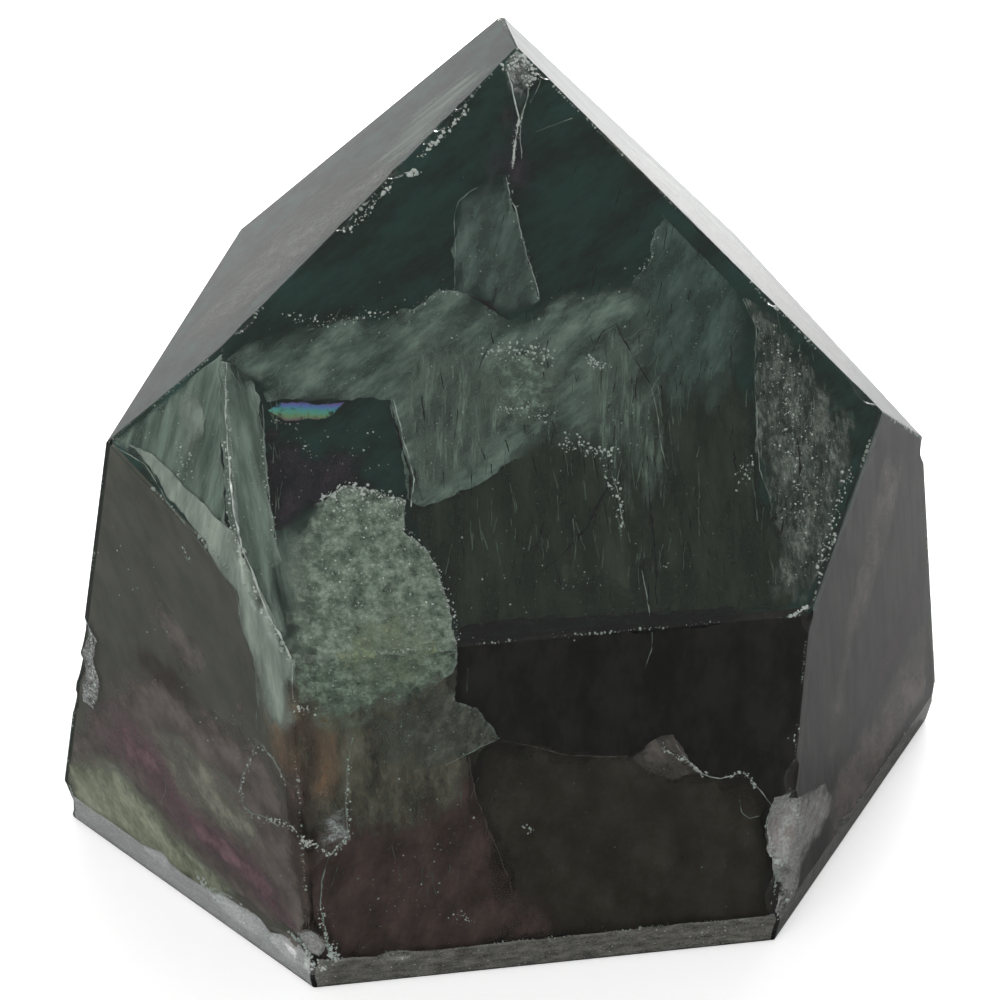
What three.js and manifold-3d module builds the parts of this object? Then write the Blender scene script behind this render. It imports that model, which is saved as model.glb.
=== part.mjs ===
// A fluorite point: one thick, six-sided crystal with a three-faced sloping end, ground flat
// underneath so that it stands by itself. Millimetres, +Z up; the front face looks towards -Y.
// The block is cut by flat planes, as a lapidary grinds it, and its worn edges lose small flakes.
import * as THREE from "three";
import { mergeVertices } from "three/addons/utils/BufferGeometryUtils.js";
import Module from "manifold-3d";

// ---------- driving dimensions ----------

const BLOCK = 160; // edge of the rough block, and of each cutting block

// A face has an azimuth (degrees about the upright axis, 0 facing -Y and 90 facing +X), a lean
// (degrees that it tips back from upright) and a reach (distance of its plane from the foot of the axis).
const FACES = {
  front: { azimuth: 9.2, lean: 3.6, reach: 22.1 },
  left: { azimuth: -46.4, lean: 0.9, reach: 26.05 },
  right: { azimuth: 63.4, lean: -0.4, reach: 25.7 },
  backLeft: { azimuth: -103.2, lean: 11.3, reach: 29.3 },
  backRight: { azimuth: 117.6, lean: 13.4, reach: 32.0 },
  back: { azimuth: 181.3, lean: 0, reach: 20.3 },
  tipFront: { azimuth: 9.2, lean: 43.6, reach: 32.9 },
  tipLeft: { azimuth: -102.9, lean: 47.7, reach: 41.1 },
  tipRight: { azimuth: 108.9, lean: 42.8, reach: 39.95 },
  shoulderLeft: { azimuth: -31.9, lean: 35.9, reach: 38.4 },
};

// The ground base: a narrow bevel runs round its edge, under each of the six upright faces.
const UPRIGHT_FACES = ["front", "left", "right", "backLeft", "backRight", "back"];
const BEVEL_HEIGHT = 2.6;
const BEVEL_INSET = 0.5;

// Flakes lost from an edge between two faces: the height of the middle of the scar, its length
// along the edge, its width across it and its depth into the stone.
const EDGE_FLAKES = [
  { faces: ["tipFront", "tipLeft"], height: 52.4, length: 1.1, width: 0.9, depth: 0.25 },
  { faces: ["tipFront", "tipLeft"], height: 51.5, length: 1.6, width: 1.2, depth: 0.35 },
  { faces: ["tipFront", "tipLeft"], height: 50.8, length: 1.1, width: 1.0, depth: 0.3 },
  { faces: ["tipFront", "tipLeft"], height: 49.4, length: 1.9, width: 1.7, depth: 0.5 },
  { faces: ["tipFront", "tipLeft"], height: 46.9, length: 1.4, width: 1.1, depth: 0.3 },
  { faces: ["tipFront", "tipLeft"], height: 42.4, length: 2.2, width: 1.1, depth: 0.3 },
  { faces: ["tipFront", "tipRight"], height: 53.7, length: 1.4, width: 1.1, depth: 0.3 },
  { faces: ["tipFront", "tipRight"], height: 41.6, length: 1.6, width: 1.0, depth: 0.3 },
  { faces: ["tipFront", "tipRight"], height: 36.6, length: 2.4, width: 1.3, depth: 0.4 },
  { faces: ["tipLeft", "tipRight"], height: 51.7, length: 1.6, width: 1.4, depth: 0.4 },
  { faces: ["tipFront", "shoulderLeft"], height: 34.6, length: 1.8, width: 1.0, depth: 0.25 },
  { faces: ["tipFront", "left"], height: 29.0, length: 1.6, width: 1.1, depth: 0.3 },
  { faces: ["tipFront", "left"], height: 27.4, length: 2.0, width: 1.3, depth: 0.35 },
  { faces: ["front", "right"], height: 25.8, length: 2.0, width: 1.6, depth: 0.45 },
  { faces: ["front", "right"], height: 13.6, length: 3.2, width: 2.2, depth: 0.5 },
  { faces: ["front", "right"], height: 9.6, length: 6.4, width: 4.6, depth: 1.2 },
  { faces: ["front", "right"], height: 4.2, length: 5.2, width: 3.4, depth: 0.9 },
  { faces: ["front", "left"], height: 3.2, length: 4.4, width: 3.6, depth: 1.0 },
  { faces: ["left", "backLeft"], height: 17.4, length: 3.6, width: 2.0, depth: 0.6 },
  { faces: ["left", "backLeft"], height: 14.4, length: 3.0, width: 2.4, depth: 0.7 },
  { faces: ["left", "backLeft"], height: 11.2, length: 2.4, width: 1.6, depth: 0.45 },
  { faces: ["left", "backLeft"], height: 1.4, length: 4.4, width: 3.4, depth: 1.1 },
  { faces: ["right", "backRight"], height: 27.6, length: 2.8, width: 1.6, depth: 0.45 },
  { faces: ["right", "backRight"], height: 2.4, length: 2.8, width: 2.0, depth: 0.5 },
  { faces: ["back", "backLeft"], height: 12.5, length: 5.4, width: 3.0, depth: 0.8 },
  { faces: ["back", "backRight"], height: 7.0, length: 4.2, width: 2.6, depth: 0.7 },
];

// Flakes lost along the rim of the base: the face above, how far along it from the face's
// middle (to the right, seen from outside), and the same length, width and depth.
const RIM_FLAKES = [
  { face: "left", along: 1.6, length: 6.6, width: 2.4, depth: 0.7 },
  { face: "left", along: 6.4, length: 4.2, width: 2.6, depth: 0.8 },
  { face: "left", along: -7.4, length: 3.0, width: 1.6, depth: 0.4 },
  { face: "front", along: -10.6, length: 2.6, width: 1.4, depth: 0.35 },
  { face: "right", along: 3.0, length: 3.0, width: 1.6, depth: 0.4 },
  { face: "back", along: 5.0, length: 4.6, width: 2.2, depth: 0.6 },
];

const FLAKE_DETAIL = 2; // how finely the ball that scoops a flake is divided
const FLAKE_UNEVENNESS = 0.05; // how far its points stray, as a share of its radius
const FLAKE_SEED = 11;

const COLOUR = 0x23342e; // very dark green
const ROUGHNESS = 0.08;

// ---------- small helpers ----------

const wasm = await Module();
wasm.setup();

const UP = new THREE.Vector3(0, 0, 1);

function solidOf(geometry) {
  const bare = geometry.clone();
  bare.deleteAttribute("normal");
  bare.deleteAttribute("uv");
  const merged = mergeVertices(bare, 1e-4);
  return new wasm.Manifold(
    new wasm.Mesh({
      numProp: 3,
      vertProperties: new Float32Array(merged.attributes.position.array),
      triVerts: new Uint32Array(merged.index.array),
    }),
  );
}

function geometryOf(solid) {
  const mesh = solid.getMesh();
  const geometry = new THREE.BufferGeometry();
  geometry.setAttribute("position", new THREE.BufferAttribute(mesh.vertProperties, 3));
  geometry.setIndex(new THREE.BufferAttribute(mesh.triVerts, 1));
  const flat = geometry.toNonIndexed();
  flat.computeVertexNormals();
  return flat;
}

// Level direction that an azimuth faces.
function heading(azimuth) {
  const a = THREE.MathUtils.degToRad(azimuth);
  return new THREE.Vector3(Math.sin(a), -Math.cos(a), 0);
}

// Outward plane of a face: points with normal . p = reach.
function planeOf({ azimuth, lean, reach }) {
  const tip = THREE.MathUtils.degToRad(lean);
  const normal = heading(azimuth).multiplyScalar(Math.cos(tip)).addScaledVector(UP, Math.sin(tip));
  return { normal, reach };
}

// The point where three planes meet.
function meetingPoint(a, b, c) {
  const rows = new THREE.Matrix3().set(...a.normal, ...b.normal, ...c.normal);
  return new THREE.Vector3(a.reach, b.reach, c.reach).applyMatrix3(rows.invert());
}

// A level plane at a height.
function levelAt(height) {
  return { normal: UP.clone(), reach: height };
}

// ---------- the ground crystal ----------

const planes = Object.fromEntries(
  Object.entries(FACES).map(([name, face]) => [name, planeOf(face)]),
);

// The bevel under an upright face starts on that face at BEVEL_HEIGHT and draws in to the base.
function bevelUnder(name) {
  const { normal, reach } = planes[name];
  const level = heading(FACES[name].azimuth);
  const start = (reach - normal.z * BEVEL_HEIGHT) / normal.dot(level);
  const bevelNormal = level
    .clone()
    .multiplyScalar(BEVEL_HEIGHT)
    .addScaledVector(UP, -BEVEL_INSET)
    .normalize();
  const edge = level.clone().multiplyScalar(start).addScaledVector(UP, BEVEL_HEIGHT);
  return { normal: bevelNormal, reach: bevelNormal.dot(edge) };
}

// Everything outside a plane, as a block turned to lie on it.
function blockOutside({ normal, reach }) {
  const block = new THREE.BoxGeometry(2 * BLOCK, 2 * BLOCK, BLOCK);
  block.applyQuaternion(new THREE.Quaternion().setFromUnitVectors(UP, normal));
  const centre = normal.clone().multiplyScalar(reach + BLOCK / 2);
  block.translate(centre.x, centre.y, centre.z);
  return solidOf(block);
}

function groundCrystal() {
  const rough = new THREE.BoxGeometry(BLOCK, BLOCK, BLOCK);
  rough.translate(0, 0, BLOCK / 2);
  const bevels = UPRIGHT_FACES.map(bevelUnder);
  return [...Object.values(planes), ...bevels].reduce(
    (stone, plane) => stone.subtract(blockOutside(plane)),
    solidOf(rough),
  );
}

// ---------- flakes lost from the edges ----------

// Repeatable random numbers from 0 to 1.
function randomFrom(seed) {
  let state = seed;
  return () => {
    state = (state * 16807) % 2147483647;
    return state / 2147483647;
  };
}

const random = randomFrom(FLAKE_SEED);

// A lens-shaped scoop over a point of an edge. A round scar of chord c and depth d comes from a
// ball of radius (c * c / 4 + d * d) / (2 * d), which is then stretched along the edge.
function scoopAt(point, along, outward, { length, width, depth }) {
  const radius = ((width * width) / 4 + depth * depth) / (2 * depth);
  const ball = new THREE.IcosahedronGeometry(1, FLAKE_DETAIL);
  ball.deleteAttribute("normal");
  ball.deleteAttribute("uv");
  const merged = mergeVertices(ball, 1e-4);
  const position = merged.attributes.position;
  for (let i = 0; i < position.count; i++) {
    const stray = 1 + FLAKE_UNEVENNESS * (random() - 0.5);
    position.setXYZ(i, position.getX(i) * stray, position.getY(i) * stray, position.getZ(i) * stray);
  }
  const across = new THREE.Vector3().crossVectors(outward, along);
  const placed = new THREE.Matrix4()
    .makeBasis(along, across, outward)
    .scale(new THREE.Vector3((radius * length) / width, radius, radius))
    .setPosition(point.clone().addScaledVector(outward, radius - depth));
  return solidOf(merged.applyMatrix4(placed));
}

function edgeFlake(flake) {
  const [a, b] = flake.faces.map((name) => planes[name]);
  const point = meetingPoint(a, b, levelAt(flake.height));
  const along = new THREE.Vector3().crossVectors(a.normal, b.normal).normalize();
  const outward = a.normal.clone().add(b.normal).normalize();
  return scoopAt(point, along, outward, flake);
}

function rimFlake(flake) {
  const face = planes[flake.face];
  const bevel = bevelUnder(flake.face);
  const along = new THREE.Vector3().crossVectors(UP, face.normal).normalize();
  const outward = face.normal.clone().add(bevel.normal).normalize();
  const middle = heading(FACES[flake.face].azimuth);
  const start = (face.reach - face.normal.z * BEVEL_HEIGHT) / face.normal.dot(middle);
  const point = middle
    .multiplyScalar(start)
    .addScaledVector(UP, BEVEL_HEIGHT)
    .addScaledVector(along, flake.along);
  return scoopAt(point, along, outward, flake);
}

function chipped(stone) {
  const flakes = [...EDGE_FLAKES.map(edgeFlake), ...RIM_FLAKES.map(rimFlake)];
  return flakes.reduce((left, flake) => left.subtract(flake), stone);
}

// ---------- the part ----------

// The origin is at the middle of the base, under the middle of the stone's outline.
function centredOnBase(geometry) {
  geometry.computeBoundingBox();
  const { min, max } = geometry.boundingBox;
  geometry.translate(-(min.x + max.x) / 2, -(min.y + max.y) / 2, -min.z);
  return geometry;
}

const point = new THREE.Mesh(
  centredOnBase(geometryOf(chipped(groundCrystal()))),
  new THREE.MeshStandardMaterial({ color: COLOUR, roughness: ROUGHNESS, metalness: 0 }),
);
point.name = "fluorite_point";

const group = new THREE.Group();
group.add(point);

export default group;
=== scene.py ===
# %% [markdown]
# # A fluorite point
# One thick crystal, dark green and purple, ground flat underneath and polished on every face.
# Its look comes from what lies inside it: healed cracks, milky clouds and colour bands close
# under a clear skin. The stone itself is one solid of dark, clear fluorite. Everything seen in
# it is a thin closed sheet, thread or grain that sits a little way below a face, so that the
# stone's own colour deepens over it, as it does in the real thing.

import math
from random import Random

import bmesh
import bpy
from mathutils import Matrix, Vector, geometry, noise
from mathutils.bvhtree import BVHTree


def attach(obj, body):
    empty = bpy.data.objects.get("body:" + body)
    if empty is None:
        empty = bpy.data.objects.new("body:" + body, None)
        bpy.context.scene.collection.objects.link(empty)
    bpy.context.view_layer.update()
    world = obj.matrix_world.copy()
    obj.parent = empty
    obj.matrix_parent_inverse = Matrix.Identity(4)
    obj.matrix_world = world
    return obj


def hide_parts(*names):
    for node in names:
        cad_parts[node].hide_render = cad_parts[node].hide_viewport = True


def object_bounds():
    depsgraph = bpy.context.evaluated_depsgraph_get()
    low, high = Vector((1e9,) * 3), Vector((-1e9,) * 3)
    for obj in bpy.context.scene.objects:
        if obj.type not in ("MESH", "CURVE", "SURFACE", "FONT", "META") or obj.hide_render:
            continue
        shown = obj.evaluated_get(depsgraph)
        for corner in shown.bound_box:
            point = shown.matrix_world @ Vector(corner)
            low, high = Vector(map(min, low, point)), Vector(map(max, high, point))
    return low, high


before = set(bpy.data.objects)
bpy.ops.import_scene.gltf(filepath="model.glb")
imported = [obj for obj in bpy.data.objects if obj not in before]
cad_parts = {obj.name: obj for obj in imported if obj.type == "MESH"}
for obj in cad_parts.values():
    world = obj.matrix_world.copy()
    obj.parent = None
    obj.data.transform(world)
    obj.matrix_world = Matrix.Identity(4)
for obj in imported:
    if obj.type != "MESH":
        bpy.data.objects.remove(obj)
cad_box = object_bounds()
ground_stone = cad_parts["fluorite_point"]
MM = 0.001
print("the stone spans", [round(v / MM, 1) for v in cad_box[1] - cad_box[0]], "mm")

# %% [markdown]
# ## The camera comes first
# What lies inside a stone is easiest to draw as the eye sees it. So the camera is set up before
# anything else, and outlines are drawn in its picture, 1000 wide and 1000 high. Each point is
# then carried along its line of sight into the stone.

# %% The camera
FIELD_OF_VIEW = math.radians(16)
ELEVATION = math.radians(32)
DISTANCE = 247.6 * MM
AIM = Vector((-0.618, 1.642, 24.0)) * MM
EYE = AIM + DISTANCE * Vector((0, -math.cos(ELEVATION), math.sin(ELEVATION)))
EYE_TURN = (AIM - EYE).to_track_quat("-Z", "Y")


def new_object(name, data):
    """An object in the scene that shows a mesh, or is a camera or a lamp."""
    thing = bpy.data.objects.new(name, data)
    bpy.context.scene.collection.objects.link(thing)
    return thing


camera_data = bpy.data.cameras.new("camera")
camera_data.angle = FIELD_OF_VIEW
camera = new_object("camera", camera_data)
camera.location = EYE
camera.rotation_euler = EYE_TURN.to_euler()
bpy.context.scene.camera = camera
print("the camera stands", round(EYE.z / MM), "mm above the floor")

# %% [markdown]
# ## The faces
# A cut stone is easiest to think of as a list of flat faces. Each one is found on the ground
# stone by the way it looks: degrees round from the front, and degrees that it leans back. Under
# each upright face a narrow bevel runs down to the base, so it looks a little downwards.

# %% Where the faces are
UPRIGHT = {
    "front": (9, 4), "left": (-46, 1), "right": (63, 0),
    "back_left": (-103, 11), "back_right": (118, 13), "back": (181, 0),
}
SLOPING = {
    "tip_front": (9, 44), "tip_left": (-103, 48), "tip_right": (109, 43), "shoulder": (-32, 36),
}
BEVEL_LEAN = -11
BEVELS = {name + "_bevel": (way[0], BEVEL_LEAN) for name, way in UPRIGHT.items()}
SAME_FACE = math.cos(math.radians(3))


def heading(azimuth, lean):
    round_from_front = math.radians(azimuth)
    tipped = math.radians(lean)
    level = Vector((math.sin(round_from_front), -math.cos(round_from_front), 0))
    return level * math.cos(tipped) + Vector((0, 0, math.sin(tipped)))


def measured_face(azimuth, lean):
    """Outward normal and reach of the flat face that looks that way."""
    way = heading(azimuth, lean)
    normal = Vector()
    reach = 0.0
    area = 0.0
    for poly in ground_stone.data.polygons:
        if poly.normal.dot(way) > SAME_FACE:
            normal += poly.normal * poly.area
            reach += poly.center.dot(poly.normal) * poly.area
            area += poly.area
    return normal.normalized(), reach / area


FACES = {name: measured_face(*way) for name, way in (UPRIGHT | SLOPING | BEVELS).items()}
FACES["base"] = (Vector((0, 0, -1)), 0.0)
for name, (normal, reach) in FACES.items():
    print(f"{name}: looks {[round(v, 2) for v in normal]}, {reach / MM:.1f} mm from the origin")

# %% [markdown]
# ## The polished stone
# The grinding left flat faces and chipped edges. A real edge is never razor sharp: polishing
# wears it to a narrow flat. So the flat faces are cut again from a block, each edge gets its own
# thin wear flat, and the result is kept only where the ground stone is, which carries its chips
# over. A Bevel modifier would round the rims of the chips too, so cutting is the better way.

# %% Cutting the block and wearing its edges
BLOCK = 160 * MM
SKIN = 0.004 * MM  # the polish takes this much off each face
WEAR_WIDTHS = (0.10 * MM, 0.22 * MM)
ON_PLANE = 1e-8
rng = Random(7)


def cut_block(planes):
    """A block with everything outside the planes cut away."""
    bm = bmesh.new()
    bmesh.ops.create_cube(bm, size=BLOCK)
    for normal, reach in planes:
        whole = bm.verts[:] + bm.edges[:] + bm.faces[:]
        cut = bmesh.ops.bisect_plane(
            bm, geom=whole, dist=ON_PLANE, plane_co=normal * reach, plane_no=normal, clear_outer=True
        )
        loop = [part for part in cut["geom_cut"] if isinstance(part, bmesh.types.BMEdge)]
        if loop:
            bmesh.ops.contextual_create(bm, geom=loop)
    return bm


def wear_flat(edge):
    """The plane that wears an edge down to a narrow flat."""
    first, second = (face.normal for face in edge.link_faces)
    normal = (first + second).normalized()
    half_angle = (math.pi - first.angle(second)) / 2
    depth = rng.uniform(*WEAR_WIDTHS) / 2 / math.tan(half_angle)
    return normal, edge.verts[0].co.dot(normal) - depth


def corners_of(bm, name):
    """The corners of a named face, in order round it."""
    normal, _ = FACES[name]
    poly = max(bm.faces, key=lambda face: face.normal.dot(normal))
    return [vert.co.copy() for vert in poly.verts]


flat_planes = [(normal, reach - SKIN) for normal, reach in FACES.values()]
sharp = cut_block(flat_planes)
CORNERS = {name: corners_of(sharp, name) for name in FACES}
wear_planes = [wear_flat(edge) for edge in sharp.edges]
sharp.free()
worn = cut_block(flat_planes + wear_planes)
print(f"{len(wear_planes)} edges, {len(worn.faces)} flats after wear")

# %% Keeping the chips


def object_from(bm, name):
    mesh = bpy.data.meshes.new(name)
    bm.to_mesh(mesh)
    bm.free()
    return new_object(name, mesh)


def finished_mesh(thing, name):
    """The mesh that an object's modifiers make of it."""
    evaluated = thing.evaluated_get(bpy.context.evaluated_depsgraph_get())
    mesh = bpy.data.meshes.new_from_object(evaluated)
    mesh.name = name
    return mesh


SAME_CORNER = 1e-7
chipped = bmesh.new()
chipped.from_mesh(ground_stone.data)
bmesh.ops.remove_doubles(chipped, verts=chipped.verts, dist=SAME_CORNER)
chipped_stone = object_from(chipped, "chipped_stone")
worn_stone = object_from(worn, "worn_stone")
keep = worn_stone.modifiers.new("keep", "BOOLEAN")
keep.operation = "INTERSECT"
keep.solver = "EXACT"
keep.object = chipped_stone
crystal_mesh = finished_mesh(worn_stone, "crystal")
bpy.data.objects.remove(worn_stone)
bpy.data.objects.remove(chipped_stone)
crystal = new_object("crystal", crystal_mesh)
print(f"the polished stone has {len(crystal_mesh.polygons)} faces")

# %% [markdown]
# A fresh chip is rough where a ground face is smooth, and a worn edge is in between, so each face
# of the mesh is marked: 0 on a polished flat, 1 on a chip. The material reads the mark later on.

# %% Marking the chips
ON_FLAT = 0.01 * MM
SAME_WAY = 0.9995
WORN = 0.4


def roughness_mark(poly):
    """0 on a polished face, 1 on a chip, and something between on a worn edge."""
    for planes, value in ((flat_planes, 0.0), (wear_planes, WORN)):
        for normal, reach in planes:
            if poly.normal.dot(normal) > SAME_WAY and abs(poly.center.dot(normal) - reach) < ON_FLAT:
                return value
    return 1.0


chip_mark = crystal_mesh.attributes.new("chip", "FLOAT", "FACE")
for poly in crystal_mesh.polygons:
    chip_mark.data[poly.index].value = roughness_mark(poly)
print(sum(mark.value == 1 for mark in chip_mark.data), "faces belong to chips")

# %% [markdown]
# ## A shared effect for the materials
# Most of what shows in the stone is a healed crack: milky, cloudy, in places fibrous or grainy,
# with bright specks. A paler line along a crisp rim is a painted highlight. Many finishes need
# it, so it is one node group. Its pattern lies on the sheet's own map, which is in millimetres on
# the face. A hard threshold would give it the look of cut paper, so every step in it is a soft one.

# %% Helpers for node trees


def put(tree, socket, value):
    """Sets a socket, or links it when the value is another node's output."""
    if isinstance(value, bpy.types.NodeSocket):
        tree.links.new(value, socket)
    else:
        socket.default_value = value


def maths(tree, operation, *values, clamp=False):
    node = tree.nodes.new("ShaderNodeMath")
    node.operation = operation
    node.use_clamp = clamp
    for socket, value in zip(node.inputs, values):
        put(tree, socket, value)
    return node.outputs[0]


def noise_in(tree, vector, scale, detail=4.0, roughness=0.6):
    node = tree.nodes.new("ShaderNodeTexNoise")
    put(tree, node.inputs["Vector"], vector)
    put(tree, node.inputs["Scale"], scale)
    node.inputs["Detail"].default_value = detail
    node.inputs["Roughness"].default_value = roughness
    return node.outputs["Fac"]


def spread(tree, value, low, high):
    """Stretches low..high softly to 0..1."""
    node = tree.nodes.new("ShaderNodeMapRange")
    node.interpolation_type = "SMOOTHSTEP"
    put(tree, node.inputs["Value"], value)
    put(tree, node.inputs["From Min"], low)
    put(tree, node.inputs["From Max"], high)
    return node.outputs["Result"]


def mixed(tree, factor, first, second):
    node = tree.nodes.new("ShaderNodeMix")
    node.data_type = "RGBA"
    colours = [socket for socket in node.inputs if socket.type == "RGBA"]
    put(tree, node.inputs["Factor"], factor)
    put(tree, colours[0], first)
    put(tree, colours[1], second)
    return next(socket for socket in node.outputs if socket.type == "RGBA")


def marked(tree, name):
    node = tree.nodes.new("ShaderNodeAttribute")
    node.attribute_name = name
    return node.outputs["Fac"]


def face_map(tree):
    """Where a point lies on its sheet, in millimetres across and up the face."""
    node = tree.nodes.new("ShaderNodeUVMap")
    node.uv_map = "on_face"
    return node.outputs[0]


def new_group(name, inputs, outputs):
    """A shader node group with named sockets; returns it with its two end nodes."""
    group = bpy.data.node_groups.new(name, "ShaderNodeTree")
    for label, kind, value in inputs:
        socket = group.interface.new_socket(name=label, in_out="INPUT", socket_type=kind)
        socket.default_value = value
    for label, kind in outputs:
        group.interface.new_socket(name=label, in_out="OUTPUT", socket_type=kind)
    return group, group.nodes.new("NodeGroupInput"), group.nodes.new("NodeGroupOutput")


# %% The healed crack: its map
COLOUR = "NodeSocketColor"
FLOAT = "NodeSocketFloat"
healed, given, result = new_group(
    "healed_crack",
    [
        ("Pale", COLOUR, (0.5, 0.6, 0.5, 1)), ("Deep", COLOUR, (0.1, 0.15, 0.1, 1)),
        ("Cover", FLOAT, 0.8), ("Cloud Size", FLOAT, 4.0), ("Patches", FLOAT, 0.4),
        ("Stretch", FLOAT, 1.0), ("Slant", FLOAT, 0.0), ("Grain", FLOAT, 0.5),
        # Rim sets the painted highlight, a paler line along a crisp rim.
        ("Grain Size", FLOAT, 0.25), ("Specks", FLOAT, 0.3), ("Rim", FLOAT, 0.5),
    ],
    [("Color", COLOUR), ("Alpha", FLOAT)],
)
on_face = face_map(healed)
turned = healed.nodes.new("ShaderNodeVectorRotate")
turned.rotation_type = "Z_AXIS"
put(healed, turned.inputs["Vector"], on_face)
put(healed, turned.inputs["Angle"], given.outputs["Slant"])
split = healed.nodes.new("ShaderNodeSeparateXYZ")
put(healed, split.inputs[0], turned.outputs[0])
stretched = healed.nodes.new("ShaderNodeCombineXYZ")
put(healed, stretched.inputs["X"], split.outputs["X"])
drawn_out = maths(healed, "DIVIDE", split.outputs["Y"], given.outputs["Stretch"])
put(healed, stretched.inputs["Y"], drawn_out)
PATTERN_MAP = stretched.outputs[0]

# %% The healed crack: clouds, grain and specks
CLOUD_RANGE = (0.3, 0.7)  # the stretch of the noise that is spread over 0 to 1
GRAIN_RANGE = (0.34, 0.66)
SPECKS_PER_MM = 5.0
SPECK_FLOOR = 0.74  # noise above this is a speck, when a finish asks for none
SPECK_GAIN = 0.09
SPECK_EDGE = 0.05
cloud_scale = maths(healed, "DIVIDE", 1.0, given.outputs["Cloud Size"])
grain_scale = maths(healed, "DIVIDE", 1.0, given.outputs["Grain Size"])
cloud_noise = noise_in(healed, PATTERN_MAP, cloud_scale, detail=4, roughness=0.62)
cloud = spread(healed, cloud_noise, *CLOUD_RANGE)
grain_noise = noise_in(healed, PATTERN_MAP, grain_scale, detail=2, roughness=0.7)
fine = spread(healed, grain_noise, *GRAIN_RANGE)
speck_noise = noise_in(healed, on_face, SPECKS_PER_MM, detail=1, roughness=0.5)
speck_floor = maths(healed, "MULTIPLY_ADD", given.outputs["Specks"], -SPECK_GAIN, SPECK_FLOOR)
speck = spread(healed, speck_noise, speck_floor, maths(healed, "ADD", speck_floor, SPECK_EDGE))

# %% The healed crack: where it shows, and its colour
FRAYING = 2.6  # how far the clouds push a faded rim in and out
CLOUD_TONE = 0.7  # how far they turn the colour from deep to pale
BRIGHT = (0.86, 0.9, 0.84, 1)


def thinned(amount, share):
    """1 where the pattern is full, and less by a share of what it lacks elsewhere."""
    lack = maths(healed, "SUBTRACT", amount, 1.0)
    return maths(healed, "MULTIPLY_ADD", lack, share, 1.0)


def times(*values):
    """The product of several values."""
    product = values[0]
    for value in values[1:]:
        product = maths(healed, "MULTIPLY", product, value)
    return product


cover = marked(healed, "cover")
bare = maths(healed, "SUBTRACT", 1.0, cover)
cloud_swing = maths(healed, "SUBTRACT", cloud, 0.5)
fine_swing = maths(healed, "SUBTRACT", fine, 0.5)
wisps = maths(healed, "ADD", cover, times(cover, bare, FRAYING, cloud_swing), clamp=True)
patchy = thinned(cloud, given.outputs["Patches"])
grainy = thinned(fine, given.outputs["Grain"])
body = times(patchy, grainy, wisps, given.outputs["Cover"])
speck_light = times(speck, wisps, cover)
# The paler line along a crisp rim is a painted highlight, mixed towards BRIGHT like the specks.
rim_highlight = times(marked(healed, "rim"), given.outputs["Rim"], fine)
lights = maths(healed, "MAXIMUM", speck_light, rim_highlight, clamp=True)
cloud_tone = times(cloud_swing, CLOUD_TONE)
fine_tone = times(fine_swing, given.outputs["Grain"])
tone = maths(healed, "ADD", maths(healed, "ADD", cloud_tone, fine_tone), 0.5, clamp=True)
milk = mixed(healed, tone, given.outputs["Deep"], given.outputs["Pale"])
put(healed, result.inputs["Color"], mixed(healed, lights, milk, BRIGHT))
put(healed, result.inputs["Alpha"], maths(healed, "MAXIMUM", body, lights, clamp=True))
print("healed_crack has", len(healed.nodes), "nodes")

# %% [markdown]
# ## The finishes
# One finish for each kind of thing that shows inside. It is easiest to say how each should look
# from outside, as a level of 0 to 255 for red, green and blue. But the stone above a thing takes
# its share of the light, red first, so the thing itself has to be paler and redder than it
# looks. The script works that out from the depth that a finish is meant for.

# %% Finishes from the healed crack


def principled(name):
    material = bpy.data.materials.new(name)
    material.use_nodes = True
    tree = material.node_tree
    return material, tree, tree.nodes["Principled BSDF"]


LOSS_PER_MM = (0.83, 0.56, 0.62)  # what the stone takes on the way in and out, per mm of depth
LIT = 0.36  # how much light reaches a sheet just below the skin
SHEEN = 0.012  # what a polished face adds by mirroring the room
PALEST = 0.9
DARKEST = 0.002
DULL = 0.6
HARDLY_BENT = 1.1  # what lies within stone mirrors hardly any light at its own skin


def shade(level):
    """How much light a level of 0 to 255 stands for, by the screen's own curve."""
    share = level / 255
    return share / 12.92 if share < 0.04 else ((share + 0.055) / 1.055) ** 2.4


def own_colour(seen, depth):
    """The colour a thing needs at a depth to look like (red, green, blue) through the stone."""
    return [
        min(PALEST, max(DARKEST, shade(level) - SHEEN) / (LIT * math.exp(-loss * depth)))
        for level, loss in zip(seen, LOSS_PER_MM)
    ]


def healed_material(name, pale, deep, depth, solid=False, **settings):
    material, tree, shader = principled(name)
    effect = tree.nodes.new("ShaderNodeGroup")
    effect.node_tree = healed
    effect.inputs["Pale"].default_value = (*own_colour(pale, depth), 1)
    effect.inputs["Deep"].default_value = (*own_colour(deep, depth), 1)
    for label, value in settings.items():
        effect.inputs[label.replace("_", " ").title()].default_value = value
    tree.links.new(effect.outputs["Color"], shader.inputs["Base Color"])
    if not solid:
        tree.links.new(effect.outputs["Alpha"], shader.inputs["Alpha"])
    shader.inputs["Roughness"].default_value = DULL
    shader.inputs["IOR"].default_value = HARDLY_BENT
    return material


# In each finish, rim sets the painted highlight along a crisp rim.
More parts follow.
